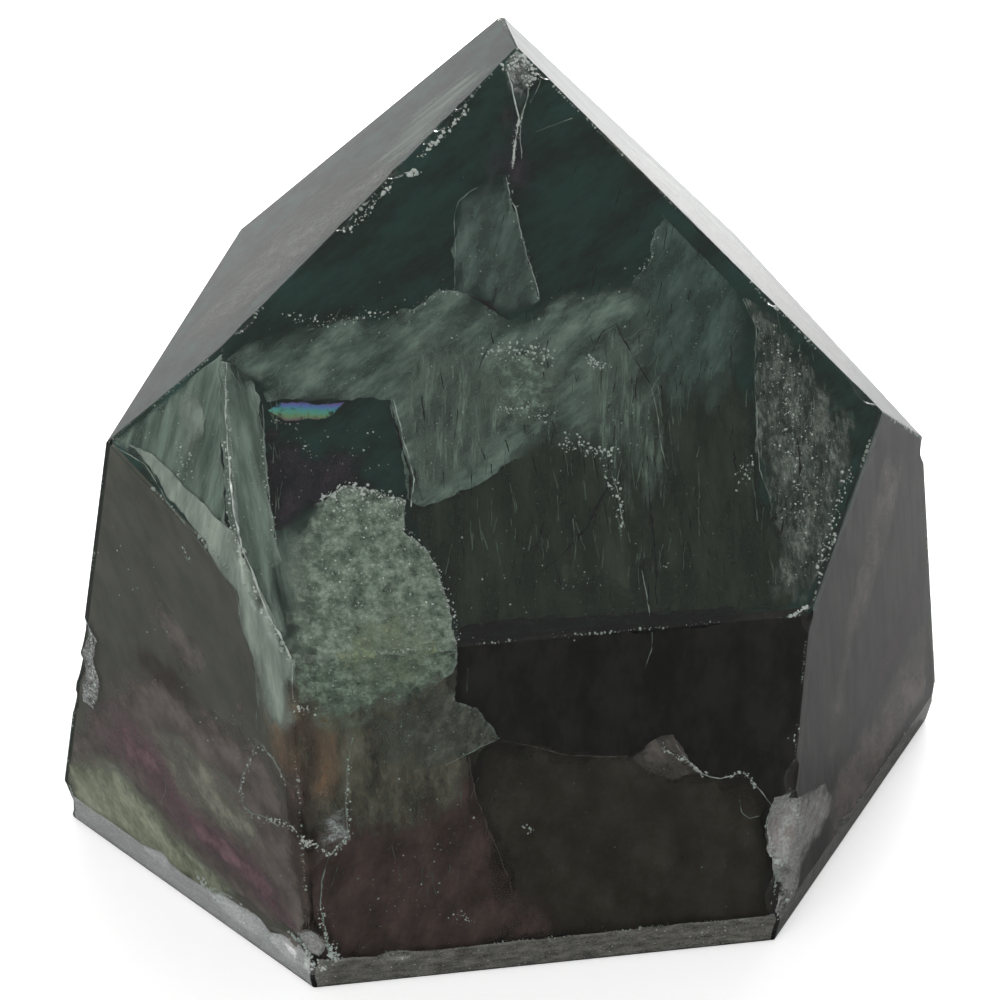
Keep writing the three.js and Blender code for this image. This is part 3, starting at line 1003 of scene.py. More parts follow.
# %% Sheets under the front slope and the shoulder
TIP_SHEETS = {
    "milky_band": ("tip_front", "milky", 1.1, [
        (226, 356, 0.95), (240, 348, 0.9), (264, 338, 0.9), (300, 323, 0.9), (344, 317, 0.9),
        (384, 312, 0.9), (412, 309, 0.97), (438, 292, 1), (458, 292, 1), (476, 299, 0.97),
        (508, 320, 0.97), (543, 303, 0.9), (578, 289, 0.8), (628, 280, 0.6), (655, 300, 0.3),
        (668, 350, 0.2), (665, 410, 0.2), (640, 450, 0.2), (590, 452, 0.3), (540, 452, 0.6),
        (510, 462, 0.97), (474, 486, 1), (423, 509, 1), (407, 498, 1), (402, 450, 1),
        (391, 400, 1), (330, 398, 0.95), (266, 402, 1), (262, 385, 0.9), (240, 378, 0.8),
    ]),
    "right_milk": ("tip_front", "mist", 1.35, [
        (672, 207, 1), (656, 230, 1), (650, 258, 1), (636, 278, 0.98), (622, 300, 0.7),
        (628, 345, 0.3), (640, 400, 0.2), (672, 425, 0.2), (712, 420, 0.2), (745, 380, 0.5),
        (752, 330, 0.8), (742, 290, 0.9), (704, 240, 0.9),
    ]),
    "shard": ("tip_front", "mist", 0.9, [
        (500, 172, 0.9), (508, 176, 1), (513, 205, 1), (522, 235, 1), (531, 268, 1), (540, 300, 1),
        (524, 312, 0.8), (503, 316, 0.6), (470, 300, 0.6), (456, 288, 0.97), (453, 250, 0.97),
        (457, 202, 0.9), (480, 182, 0.6),
    ]),
    "apex_haze": ("tip_front", "violet", 0.9, [
        (512, 70, 0.9), (528, 80, 0.7), (534, 120, 0.4), (540, 170, 0.4), (530, 210, 0.4),
        (505, 190, 0.4), (470, 178, 0.2), (490, 130, 0.4), (502, 100, 0.6),
    ]),
    "window_strip": ("tip_front", "green_milk", 0.45, [
        (226, 364, 1), (243, 366, 0.9), (262, 400, 1), (264, 440, 1), (270, 500, 1),
        (278, 546, 1), (287, 590, 0.7), (296, 640, 0.6), (289, 664, 0.9), (272, 628, 1),
        (254, 590, 1), (240, 550, 1), (230, 510, 1), (225, 440, 1),
    ]),
    "granular": ("tip_front", "granular", 0.35, [
        (297, 518, 0.6), (325, 496, 1), (348, 485, 1), (374, 492, 1), (404, 501, 1),
        (406, 530, 1), (424, 549, 1), (440, 575, 1), (452, 612, 1), (458, 642, 1),
        (420, 649, 1), (360, 655, 1), (292, 662, 0.95), (284, 612, 0.6), (279, 560, 0.6),
    ]),
    "granular_haze": ("tip_front", "green_milk", 0.6, [
        (268, 530, 0.6), (292, 512, 0.1), (326, 510, 0.1), (336, 580, 0.1), (330, 640, 0.1),
        (296, 658, 0.9), (286, 622, 0.9), (270, 582, 0.9),
    ]),
    "sprout_patch": ("tip_front", "sprout", 0.25, [
        (352, 610, 0.1), (400, 596, 0.1), (438, 622, 0.2), (440, 647, 1), (360, 655, 1),
        (332, 645, 0.2),
    ]),
    "right_band": ("tip_front", "speckled", 0.6, [
        (743, 298, 0.97), (757, 326, 1), (756, 383, 1), (757, 440, 1), (768, 497, 0.97),
        (778, 545, 0.7), (760, 600, 0.5), (800, 609, 0.7), (822, 560, 0.97), (836, 510, 0.97),
        (852, 462, 0.97), (862, 425, 0.5), (826, 374, 0.5), (796, 340, 0.5), (768, 310, 0.6),
    ]),
    "fibrous_left": ("tip_front", "fibrous", 0.85, [
        (402, 345, 0.7), (432, 325, 0.4), (470, 330, 0.4), (510, 362, 0.3), (530, 410, 0.2),
        (508, 455, 0.3), (478, 476, 0.6), (444, 495, 0.8), (418, 502, 0.9), (406, 460, 0.9),
        (398, 400, 0.8),
    ]),
    "fibrous_right": ("tip_front", "fibrous", 0.95, [
        (582, 348, 0.4), (612, 322, 0.7), (632, 345, 0.9), (655, 386, 0.7), (684, 430, 0.2),
        (675, 490, 0.1), (630, 530, 0.1), (590, 480, 0.1), (570, 420, 0.2),
    ]),
    "bright_cluster": ("tip_front", "granular", 0.7, [
        (478, 350, 0.3), (506, 336, 0.5), (545, 342, 0.6), (572, 372, 0.3), (566, 410, 0.3),
        (530, 434, 0.2), (492, 428, 0.3), (476, 392, 0.2),
    ]),
    "brown_centre": ("tip_front", "dull", 1.6, [
        (410, 512, 0.97), (420, 480, 0.4), (475, 420, 0.2), (600, 380, 0.1), (690, 350, 0.2),
        (752, 360, 0.5), (757, 440, 0.9), (768, 500, 0.9), (800, 560, 0.9), (790, 606, 1),
        (700, 612, 1), (600, 618, 1), (500, 626, 1), (460, 630, 1), (440, 600, 1),
        (430, 560, 1),
    ]),
    "centre_veil": ("tip_front", "dull", 1.25, [
        (613, 476, 1), (600, 500, 1), (590, 523, 1), (572, 545, 1), (556, 560, 0.95),
        (535, 576, 0.8), (560, 600, 0.3), (610, 608, 0.3), (652, 604, 0.9), (652, 540, 1),
        (648, 500, 0.97), (640, 470, 0.8),
    ]),
    # Painted shade: the dark band along the edge where the front slope meets the front face.
    "shoulder_shade": ("tip_front", "shade", 0.3, [
        (458, 628, 1), (520, 618, 0.97), (600, 616, 0.97), (700, 610, 0.97), (780, 603, 0.9),
        (800, 606, 0.9), (700, 622, 1), (600, 628, 1), (520, 634, 1), (460, 640, 1),
    ]),
    "window_violet": ("tip_front", "violet", 1.5, [
        (268, 430, 1), (300, 436, 0.2), (338, 440, 0.1), (368, 452, 0.1), (384, 486, 0.4),
        (350, 492, 1), (325, 500, 0.95), (290, 530, 0.9), (276, 530, 1), (268, 470, 1),
    ]),
    "rainbow": ("tip_front", "rainbow", 0.3, [
        (268, 410, 1), (282, 404, 1), (312, 402, 1), (345, 403, 1), (334, 414, 1),
        (322, 420, 1), (296, 420, 1), (276, 417, 1),
    ]),
    "apex_crush": ("tip_front", "crushed", 0.2, [
        (502, 70, 0.8), (512, 56, 0.97), (522, 50, 0.97), (534, 64, 0.97), (540, 78, 0.8),
        (532, 96, 0.5), (521, 112, 0.5), (511, 96, 0.6),
    ]),
    "shoulder_milk": ("shoulder", "green_milk", 0.5, [
        (219, 360, 1), (220, 420, 1), (224, 505, 1), (236, 560, 1), (225, 552, 0.9),
        (200, 530, 0.9), (165, 490, 0.9), (128, 452, 0.9), (112, 440, 0.9), (160, 400, 0.9),
    ]),
    "shoulder_pale": ("shoulder", "pale_milk", 0.35, [
        (174, 398, 0.8), (196, 380, 0.9), (203, 420, 1), (204, 470, 0.9), (208, 515, 0.6),
        (194, 510, 0.5), (182, 450, 0.7),
    ]),
}
drawn_sheets(TIP_SHEETS, first_seed=1)

# %% [markdown]
# ## The upright faces
# Below the slope the colour turns from green to brown and purple. Bands of colour follow the old
# faces of the growing crystal, so on the left face they run slanting, one above the other.

# %% Sheets under the upright faces
LOWER_SHEETS = {
    "left_umber": ("left", "umber", 0.62, [
        (84, 700, 0.6), (112, 668, 0.3), (150, 650, 0.1), (178, 680, 0.1), (215, 700, 0.1),
        (250, 722, 0.3), (286, 790, 0.7), (306, 900, 0.9), (300, 935, 1), (180, 868, 1),
        (76, 802, 1), (74, 740, 1),
    ]),
    "left_haze": ("left", "umber", 0.8, [
        (160, 560, 0.1), (210, 580, 0.3), (236, 620, 0.6), (252, 700, 0.7), (256, 740, 0.3),
        (220, 740, 0.1), (170, 690, 0.1), (140, 620, 0.1),
    ]),
    "sage_band": ("left", "sage", 0.52, [
        (136, 716, 0.1), (180, 730, 0.2), (226, 770, 0.3), (262, 820, 0.2), (272, 860, 0.3),
        (246, 850, 0.6), (205, 822, 0.6), (160, 780, 0.3),
    ]),
    "purple_band": ("left", "purple", 0.42, [
        (80, 712, 0.1), (104, 696, 0.1), (140, 712, 0.1), (168, 748, 0.2), (182, 792, 0.4),
        (209, 818, 0.8), (240, 840, 0.8), (262, 862, 0.5), (290, 905, 0.5), (302, 938, 0.9),
        (266, 914, 0.7), (232, 882, 0.3), (200, 854, 0.3), (164, 818, 0.3), (136, 784, 0.2),
        (104, 754, 0.1),
    ]),
    "green_corner": ("left", "green", 0.32, [
        (66, 758, 0.9), (88, 746, 0.1), (116, 756, 0.1), (142, 780, 0.1), (166, 812, 0.2),
        (194, 846, 0.3), (222, 872, 0.5), (244, 896, 0.5), (222, 906, 0.9), (162, 872, 1),
        (95, 834, 1), (73, 808, 1),
    ]),
    "left_shadow": ("left", "bark", 0.5, [
        (124, 630, 0.1), (152, 640, 0.3), (178, 672, 0.4), (200, 706, 0.3), (188, 716, 0.1),
        (156, 692, 0.2), (130, 664, 0.1),
    ]),
    "amber_left": ("left", "amber", 0.5, [
        (258, 700, 0.6), (284, 680, 0.3), (300, 700, 0.97), (304, 800, 0.6), (284, 790, 0.3),
        (264, 750, 0.6),
    ]),
    "left_milk": ("left", "pale_milk", 0.24, [
        (110, 440, 0.95), (140, 464, 1), (166, 502, 1), (203, 547, 1), (224, 577, 1),
        (237, 592, 1), (240, 622, 0.97), (252, 655, 0.97), (257, 690, 0.95), (258, 735, 0.5),
        (280, 750, 0.1), (294, 720, 0.6), (290, 664, 0.97), (264, 606, 1), (242, 556, 1),
        (202, 518, 1), (150, 464, 1),
    ]),
    "left_bruise": ("left", "crushed", 0.15, [
        (86, 622, 1), (97, 641, 1), (92, 659, 1), (99, 682, 1), (94, 712, 1), (84, 702, 1),
        (82, 660, 1),
    ]),
    "front_bark": ("front", "bark", 1.3, [
        (480, 742, 0.3), (530, 746, 0.97), (628, 757, 0.97), (705, 774, 0.97), (756, 786, 0.97),
        (780, 806, 1), (778, 900, 1), (770, 930, 1), (600, 940, 1), (500, 948, 0.9),
        (470, 880, 0.1), (460, 800, 0.1),
    ]),
    "maroon_foot": ("front", "maroon", 1.1, [
        (300, 750, 0.7), (350, 740, 0.1), (420, 750, 0.1), (466, 757, 0.95), (476, 794, 0.97),
        (486, 824, 0.97), (501, 858, 0.9), (530, 892, 0.3), (600, 930, 0.1), (600, 945, 0.9),
        (440, 952, 1), (328, 964, 1), (312, 900, 1),
    ]),
    "front_mass": ("front", "moss", 0.9, [
        (292, 664, 1), (400, 655, 1), (458, 648, 1), (456, 702, 0.97), (476, 708, 1),
        (499, 738, 1), (474, 756, 0.95), (470, 800, 0.1), (430, 840, 0), (360, 850, 0),
        (304, 830, 0.5), (296, 740, 0.97),
    ]),
    "amber": ("front", "amber", 0.45, [
        (298, 690, 0.95), (330, 690, 0.1), (362, 715, 0.1), (356, 760, 0.1), (336, 810, 0.1),
        (306, 800, 0.8),
    ]),
    "foot_fan": ("front", "slate", 0.6, [
        (400, 690, 0.1), (440, 680, 0.3), (455, 668, 0.9), (456, 702, 1), (476, 708, 1),
        (499, 738, 1), (470, 754, 1), (446, 765, 0.9), (400, 780, 0.1), (360, 760, 0.1),
        (370, 710, 0.1),
    ]),
    "granular_foot": ("front", "granular", 0.4, [
        (291, 662, 0.97), (360, 656, 1), (420, 651, 1), (458, 646, 1), (455, 672, 1),
        (434, 690, 0.95), (419, 700, 0.8), (392, 712, 0.4), (350, 740, 0.1), (310, 740, 0.1),
        (292, 700, 0.7),
    ]),
    "sprout_foot": ("front", "sprout", 0.3, [
        (340, 658, 1), (438, 649, 1), (436, 676, 0.2), (404, 698, 0.1), (356, 700, 0.1),
    ]),
    "front_flake": ("front", "haze", 0.8, [
        (624, 757, 0.5), (661, 738, 0.97), (673, 735, 1), (688, 755, 1), (703, 773, 1),
        (678, 779, 1), (643, 773, 0.9),
    ]),
    "crack_haze": ("front", "crushed", 0.3, [
        (314, 818, 0.3), (345, 806, 0.97), (352, 822, 0.9), (348, 838, 0.97), (328, 856, 0.9),
        (316, 860, 0.4),
    ]),
    "corner_disc": ("front", "chipped", 0.25, [
        (306, 944, 1), (314, 934, 1), (325, 940, 1), (328, 950, 1), (318, 958, 1),
        (308, 954, 1),
    ]),
    "front_chip": ("front", "chipped", 0.25, [
        (776, 800, 1), (790, 800, 1), (790, 850, 1), (786, 918, 1), (777, 912, 1),
        (784, 893, 1), (773, 870, 1), (776, 845, 1), (772, 824, 1),
    ]),
    "right_chip": ("right", "chipped", 0.2, [
        (790, 799, 1), (824, 784, 0.97), (833, 801, 0.97), (824, 830, 0.8), (806, 858, 0.6),
        (798, 893, 0.9), (787, 920, 1), (786, 850, 1),
    ]),
    "right_pale": ("right", "haze", 0.55, [
        (886, 450, 0.8), (910, 455, 0.5), (894, 520, 0.3), (872, 600, 0.3), (850, 660, 0.5),
        (842, 740, 0.3), (822, 790, 0.2), (830, 700, 0.3), (844, 620, 0.5), (866, 530, 0.7),
    ]),
    "right_corner": ("right", "haze", 0.3, [
        (928, 610, 0.3), (926, 692, 0.95), (898, 738, 0.95), (866, 792, 0.9), (830, 848, 0.8),
        (824, 800, 0.4), (846, 752, 0.3), (880, 700, 0.2), (906, 650, 0.1),
    ]),
    "right_purple": ("right", "plum", 0.5, [
        (922, 548, 0.3), (926, 600, 0.5), (906, 652, 0.3), (882, 702, 0.3), (858, 760, 0.3),
        (838, 800, 0.1), (846, 744, 0.1), (866, 690, 0.1), (890, 630, 0.1), (908, 580, 0.1),
    ]),
    "warm_edge": ("front", "edge_brown", 0.12, [
        (293, 690, 0.97), (300, 780, 0.97), (308, 860, 0.97), (319, 950, 0.97), (340, 946, 0.1),
        (334, 860, 0.1), (326, 780, 0.1), (318, 690, 0.1),
    ]),
    "warm_edge_left": ("left", "edge_brown", 0.12, [
        (292, 720, 0.97), (300, 800, 0.97), (308, 870, 0.97), (317, 948, 0.97), (302, 938, 0.1),
        (288, 870, 0.1), (280, 800, 0.1), (272, 730, 0.1),
    ]),
}
drawn_sheets(LOWER_SHEETS, first_seed=41)

# %% [markdown]
# ## The ground rim and the sides that are out of view
# The bevels round the base were only ground, not polished, so they look frosted. The left one
# gets a much paler frost, which is painted light. The sides that the camera doesn't see are made
# of the same stone, so they get veils and colour zones of the same kinds, scattered by a fixed
# seed. Each face is measured from the block's own corners.

# %% Outlines measured on the block
INSET = 0.25
FROST_DEPTH = 0.08
FROST_STRAY = 0.12
FIRST_FROST_SEED = 81
for seed, face in enumerate(BEVELS, FIRST_FROST_SEED):
    outline = [(*corner, 1.0) for corner in face_outline(face, INSET)]
    # The left bevel gets the paler frost, which is painted light.
    finish = "worn" if face == "left_bevel" else "ground"
    sheet(face + "_frost", face, outline, finish, seed, FROST_DEPTH, FROST_STRAY)
print(len(BEVELS), "ground bevels")

# %% Veils out of view
VEIL_SIDES = 9
VEIL_MARGIN = 1.2
VEIL_STRETCH = 1.3
VEIL_TURN = 0.3  # how far a corner strays round the veil, in shares of a side
VEIL_REACH = (0.45, 1.2)
VEIL_STRAY = 0.4
VEIL_CRISPNESS = (0.1, 0.3, 0.7)
DRAWN_BACK = 0.85  # a corner beyond the face is drawn back by steps of this share
SMALLEST = 0.1
FIRST_VEIL_SEED = 200
FIRST_ZONE_SEED = 300
VEIL_KINDS = {
    "umber": (0.46, 15), "green_milk": (0.42, 11), "speckled": (0.35, 9), "granular": (0.28, 5),
}  # depth and size, in millimetres
SLOPE_KINDS = {"dull": (0.44, 14), "slate": (0.38, 10), "green_milk": (0.32, 7)}
ZONE_KINDS = ["sage", "purple", "edge_brown"]
ZONE_DEPTH = 0.39
ZONE_SIZE = 12


def scattered_veil(name, face, finish, seed, size, depth):
    """A ragged veil somewhere on a face, always within the face's own outline."""
    dice = Random(seed)
    outline = face_outline(face, VEIL_MARGIN)
    shares = [dice.random() ** 2 for _ in outline]
    centre = sum((c * s for c, s in zip(outline, shares)), Vector((0, 0))) / sum(shares)
    rim = []
    for side in range(VEIL_SIDES):
        turn = math.tau * (side + dice.uniform(-VEIL_TURN, VEIL_TURN)) / VEIL_SIDES
        reach = size * dice.uniform(*VEIL_REACH)
        spot = centre + Vector((math.cos(turn) * reach, math.sin(turn) * reach * VEIL_STRETCH))
        while not inside(spot, outline) and (spot - centre).length > size * SMALLEST:
            spot = centre.lerp(spot, DRAWN_BACK)
        rim.append((*spot, dice.choice(VEIL_CRISPNESS)))
    return sheet(name, face, rim, finish, seed, depth, VEIL_STRAY)


HIDDEN_SIDES = {
    "back_left": VEIL_KINDS, "back_right": VEIL_KINDS, "back": VEIL_KINDS,
    "tip_left": SLOPE_KINDS, "tip_right": SLOPE_KINDS,
}
for number, (face, kinds) in enumerate(HIDDEN_SIDES.items()):
    for extra, (kind, (depth, size)) in enumerate(kinds.items()):
        seed = FIRST_VEIL_SEED + number * 10 + extra
        scattered_veil(f"{face}_veil_{extra + 1}", face, kind, seed, size, depth)
for seed, (face, kind) in enumerate(zip(HIDDEN_SIDES, ZONE_KINDS), FIRST_ZONE_SEED):
    scattered_veil(f"{face}_zone", face, kind, seed, ZONE_SIZE, ZONE_DEPTH)
print("veils under", ", ".join(HIDDEN_SIDES))

# %% [markdown]
# ## Threads
# Where a crack meets the eye edge-on, it shows as a bright or dark line. A tube swept along a
# drawn route would look like wire, so the sweep is done with Geometry Nodes: the route wanders,
# and the tube swells and thins along it.

# %% Helpers for Geometry Nodes
WHOLE = "NodeSocketInt"
ARROW = "NodeSocketVector"
PAINT = "NodeSocketMaterial"


def new_recipe(name, inputs):
    """A Geometry Nodes tree with a mesh in, named inputs and a mesh out."""
    tree = bpy.data.node_groups.new(name, "GeometryNodeTree")
    tree.interface.new_socket(name="Geometry", in_out="INPUT", socket_type="NodeSocketGeometry")
    for label, kind in inputs:
        tree.interface.new_socket(name=label, in_out="INPUT", socket_type=kind)
    tree.interface.new_socket(name="Geometry", in_out="OUTPUT", socket_type="NodeSocketGeometry")
    return tree, tree.nodes.new("NodeGroupInput"), tree.nodes.new("NodeGroupOutput")


def step(tree, kind, **values):
    """A node whose named inputs are set or linked."""
    node = tree.nodes.new(kind)
    for label, value in values.items():
        socket = next(s for s in node.inputs if s.name == label.replace("_", " ") and s.enabled)
        put(tree, socket, value)
    return node


def arrow_maths(tree, operation, first, second):
    node = tree.nodes.new("ShaderNodeVectorMath")
    node.operation = operation
    put(tree, node.inputs[0], first)
    second_socket = node.inputs["Scale"] if operation == "SCALE" else node.inputs[1]
    put(tree, second_socket, second)
    return node.outputs[0]


def followed(recipe, name, mesh, values):
    """The mesh that a recipe makes of a mesh, with its inputs set by name."""
    helper = new_object(name, mesh)
    modifier = helper.modifiers.new(name, "NODES")
    modifier.node_group = recipe
    for item in recipe.interface.items_tree:
        if item.in_out == "INPUT" and item.name in values:
            modifier[item.identifier] = values[item.name]
    made = finished_mesh(helper, name)
    bpy.data.objects.remove(helper)
    return made


def route_mesh(name, places):
    """A mesh of one open line through the places."""
    mesh = bpy.data.meshes.new(name)
    mesh.from_pydata(places, [(i, i + 1) for i in range(len(places) - 1)], [])
    return mesh


# %% The recipe for a thread
THREAD_SIDES = 6
SWELLS_PER_WANDER = 2.0
SWELL_GAIN = 4.5
SWELL_BASE = -1.65
THINNEST = 0.15
threads, given, made = new_recipe("threads_along_a_route", [
    ("Step", FLOAT), ("Wander", FLOAT), ("Wander Size", FLOAT), ("Seed", FLOAT), ("Finish", PAINT),
])
route = step(threads, "GeometryNodeMeshToCurve", Mesh=given.outputs["Geometry"])
paced = threads.nodes.new("GeometryNodeResampleCurve")
paced.mode = "LENGTH"
put(threads, paced.inputs["Curve"], route.outputs[0])
put(threads, paced.inputs["Length"], given.outputs["Step"])
here = threads.nodes.new("GeometryNodeInputPosition").outputs[0]
wander_scale = maths(threads, "DIVIDE", 1.0, given.outputs["Wander Size"])


def seeded_noise(scale):
    """The outputs of a noise along the route, which is another one for each seed."""
    node = threads.nodes.new("ShaderNodeTexNoise")
    node.noise_dimensions = "4D"
    put(threads, node.inputs["Vector"], here)
    put(threads, node.inputs["W"], given.outputs["Seed"])
    put(threads, node.inputs["Scale"], scale)
    return node.outputs


drift = seeded_noise(wander_scale)
centred = arrow_maths(threads, "SUBTRACT", drift["Color"], (0.5, 0.5, 0.5))
shift = arrow_maths(threads, "SCALE", centred, given.outputs["Wander"])
moved = step(threads, "GeometryNodeSetPosition", Geometry=paced.outputs[0], Offset=shift)
swell = seeded_noise(maths(threads, "MULTIPLY", wander_scale, SWELLS_PER_WANDER))
swelling = maths(threads, "MULTIPLY_ADD", swell["Fac"], SWELL_GAIN, SWELL_BASE)
width = threads.nodes.new("GeometryNodeInputNamedAttribute")
width.inputs["Name"].default_value = "width"
thickness = maths(threads, "MAXIMUM", swelling, THINNEST)
radius = maths(threads, "MULTIPLY", thickness, width.outputs["Attribute"])
ring = step(threads, "GeometryNodeCurvePrimitiveCircle", Resolution=THREAD_SIDES, Radius=0.5)
tube = step(
    threads, "GeometryNodeCurveToMesh", Curve=moved.outputs[0], Profile_Curve=ring.outputs[0],
    Scale=radius, Fill_Caps=True,
)
real = step(threads, "GeometryNodeRealizeInstances", Geometry=tube.outputs[0])
painted = step(
    threads, "GeometryNodeSetMaterial", Geometry=real.outputs[0], Material=given.outputs["Finish"]
)
put(threads, made.inputs[0], painted.outputs[0])
print("the thread recipe has", len(threads.nodes), "nodes")

# %% The threads
PICTURE_MM = 0.07  # one step of the picture, at the stone
THREAD_CLEARANCE = 0.12
THREAD_STEP = 0.2 * MM
THREAD_WANDER = 0.4 * MM
WANDER_SIZE = 1.3 * MM
# Name, face, finish and depth in millimetres, then the route: x, y and width in the picture.
THREADS = {
    "worn_line": ("tip_front", "white", 0.12, [
        (226, 364, 1.2), (225, 419, 1.4), (228, 458, 1.8), (232, 509, 2.4), (243, 549, 2.2),
        (261, 598, 1.8), (277, 629, 2.2), (291, 659, 2.2),
    ]),
    "worn_line_foot": ("front", "white", 0.12, [
        (294, 664, 1.8), (292, 684, 1.6), (293, 700, 1),
    ]),
    "window_edge": ("tip_front", "pale", 0.3, [
        (263, 404, 0.7), (264, 440, 1.1), (266, 470, 1.5), (270, 500, 1), (277, 544, 0.8),
    ]),
    "window_crack": ("tip_front", "dark", 0.3, [
        (390, 398, 1.5), (398, 436, 3.0), (409, 470, 2.7), (411, 503, 2.2),
    ]),
    "window_crack_light": ("tip_front", "white", 0.2, [
        (394, 400, 1.2), (403, 438, 1.7), (414, 478, 1.5), (411, 506, 1.2),
    ]),
    "shard_right": ("tip_front", "white", 0.3, [
        (506, 177, 0.9), (517, 217, 0.8), (528, 257, 0.7), (539, 299, 0.6),
    ]),
    "shard_left": ("tip_front", "pale", 0.5, [
        (478, 186, 0.5), (458, 201, 0.8), (454, 223, 0.9), (455, 290, 0.6),
    ]),
    "apex_1": ("tip_front", "white", 0.15, [
        (508, 72, 1.6), (513, 92, 1.5), (519, 118, 2.0), (516, 140, 3.6), (513, 167, 2.4),
    ]),
    "apex_2": ("tip_front", "pale", 0.15, [
        (530, 76, 1.2), (527, 98, 1.2), (521, 118, 1.5), (520, 134, 1), (522, 158, 1),
    ]),
    "apex_3": ("tip_front", "pale", 0.15, [
        (541, 78, 0.8), (536, 92, 0.7), (530, 102, 0.5),
    ]),
    "apex_thin": ("tip_front", "pale", 0.3, [
        (536, 132, 0.4), (556, 124, 0.6), (572, 118, 0.6),
    ]),
    "right_line": ("tip_front", "pale", 0.25, [
        (743, 299, 0.7), (756, 326, 0.8), (755, 383, 0.9), (757, 440, 1), (759, 470, 0.8),
        (771, 498, 0.8),
    ]),
    "right_line_dark": ("tip_front", "dark", 0.35, [
        (797, 440, 1.8), (800, 470, 2.7), (798, 500, 2.3), (784, 520, 2.7), (781, 535, 1.8),
    ]),
    "curve_dark": ("tip_front", "dark", 0.5, [
        (613, 476, 2.0), (600, 499, 3.0), (591, 522, 3.0), (573, 544, 2.8), (556, 560, 2.6),
        (536, 574, 1.5),
    ]),
    "vertical_dark": ("tip_front", "dark", 0.4, [
        (648, 455, 1.8), (650, 498, 2.8), (655, 549, 3.2), (657, 606, 2.6),
    ]),
    "v_dark": ("tip_front", "dark", 0.4, [
        (592, 352, 1.5), (603, 332, 2.1), (617, 324, 1.8), (630, 352, 2.1), (645, 374, 2.4),
        (657, 394, 1.5),
    ]),
    "v_light": ("tip_front", "pale", 0.3, [
        (660, 376, 0.5), (652, 390, 0.8), (658, 412, 0.9), (662, 450, 1), (668, 468, 0.6),
    ]),
    "shard_gap": ("tip_front", "dark", 0.4, [
        (468, 294, 1.8), (485, 302, 3.3), (500, 314, 3.9), (511, 320, 2.4),
    ]),
    "flake_tail": ("tip_front", "pale", 0.3, [
        (610, 470, 0.5), (617, 490, 1.6), (620, 508, 1.6), (625, 528, 0.6),
    ]),
    "light_drop": ("tip_front", "pale", 0.4, [
        (642, 570, 0.4), (646, 592, 1.0), (650, 616, 1.2),
    ]),
    "light_drop_2": ("front", "pale", 0.3, [
        (651, 632, 0.7), (652, 648, 0.8), (646, 668, 0.4),
    ]),
    "front_line_left": ("front", "faint", 0.3, [
        (500, 740, 0.6), (530, 746, 0.9), (572, 756, 0.9), (610, 757, 0.9), (628, 756, 0.9),
    ]),
    "front_line_right": ("front", "white", 0.15, [
        (676, 744, 0.6), (688, 762, 1.1), (703, 774, 1.2), (720, 779, 0.7), (744, 772, 0.9),
        (754, 784, 0.9), (773, 806, 0.7),
    ]),
    "front_ring": ("front", "pale", 0.2, [
        (739, 800, 0.7), (741, 812, 0.8), (750, 818, 0.8), (759, 816, 0.6),
    ]),
    "maroon_edge": ("front", "faint", 0.3, [
        (468, 757, 1), (470, 770, 1), (476, 794, 0.9), (486, 824, 0.7), (501, 858, 0.6),
        (512, 892, 0.4),
    ]),
    "fan_edge": ("front", "pale", 0.3, [
        (499, 738, 1), (470, 753, 1), (446, 765, 0.7),
    ]),
    "crack_1": ("front", "pale", 0.15, [
        (352, 738, 1.2), (348, 766, 1.4), (346, 800, 1.2), (348, 836, 1.6), (328, 856, 1.6),
        (321, 883, 1.5), (320, 905, 1.6), (325, 925, 1.6), (328, 955, 1.6),
    ]),
    "crack_2": ("left", "pale", 0.15, [
        (254, 738, 0.9), (273, 758, 1.4), (287, 784, 1.7),
    ]),
    "crack_3": ("left", "pale", 0.2, [
        (257, 743, 0.6), (240, 782, 0.8), (242, 804, 0.9), (250, 813, 1.3), (268, 819, 1.6),
        (278, 825, 1.3),
    ]),
    "purple_line": ("left", "faint", 0.3, [
        (200, 826, 0.5), (232, 845, 0.8), (258, 856, 0.9), (276, 901, 1), (289, 924, 0.9),
    ]),
    "left_line": ("left", "faint", 0.3, [
        (122, 470, 0.7), (141, 490, 0.8), (164, 530, 0.8), (187, 562, 0.7),
    ]),
    "left_short": ("left", "pale", 0.2, [
        (166, 780, 0.5), (165, 790, 0.7), (161, 804, 0.4),
    ]),
    "left_edge": ("left", "pale", 0.25, [
        (112, 446, 0.8), (140, 464, 0.8), (166, 502, 0.6), (203, 547, 0.7), (224, 577, 0.8),
        (237, 592, 0.8), (240, 622, 0.5), (254, 655, 0.6), (257, 700, 0.5), (256, 728, 0.5),
    ]),
}


def thread_piece(name, mesh, finish, seed):
    """The piece that the thread recipe makes of routes; the mesh of routes is used up."""
    values = {
        "Step": THREAD_STEP, "Wander": THREAD_WANDER, "Wander Size": WANDER_SIZE,
        "Seed": float(seed), "Finish": FINISHES[finish],
    }
    tube_mesh = followed(threads, name, mesh, values)
    bpy.data.meshes.remove(mesh)
    return finish_piece(new_object(name, tube_mesh), finish)


def thread(name, face, finish, depth, route, seed):
    """A thread along a route of (x, y, width) in the picture."""
    places = []
    widths = []
    for x, y, width in route:
        across, up = seen_at(face, x, y, depth)
        places.append(kept_inside(under(face, across, up, depth), THREAD_CLEARANCE))
        widths.append(width * PICTURE_MM * MM)
    mesh = route_mesh(name, places)
    mesh.attributes.new("width", "FLOAT", "POINT").data.foreach_set("value", widths)
    return thread_piece(name, mesh, finish, seed)


for seed, (name, (face, finish, depth, route)) in enumerate(THREADS.items()):
    thread(name, face, finish, depth, route, seed)
print(len(THREADS), "threads")

# %% [markdown]
# Between the large cracks the stone is full of hairlines, too many to draw one by one. In each
# part of the stone they all lean the same way, so a fixed seed throws short strokes over it, and
# the same recipe turns them all into threads at once.

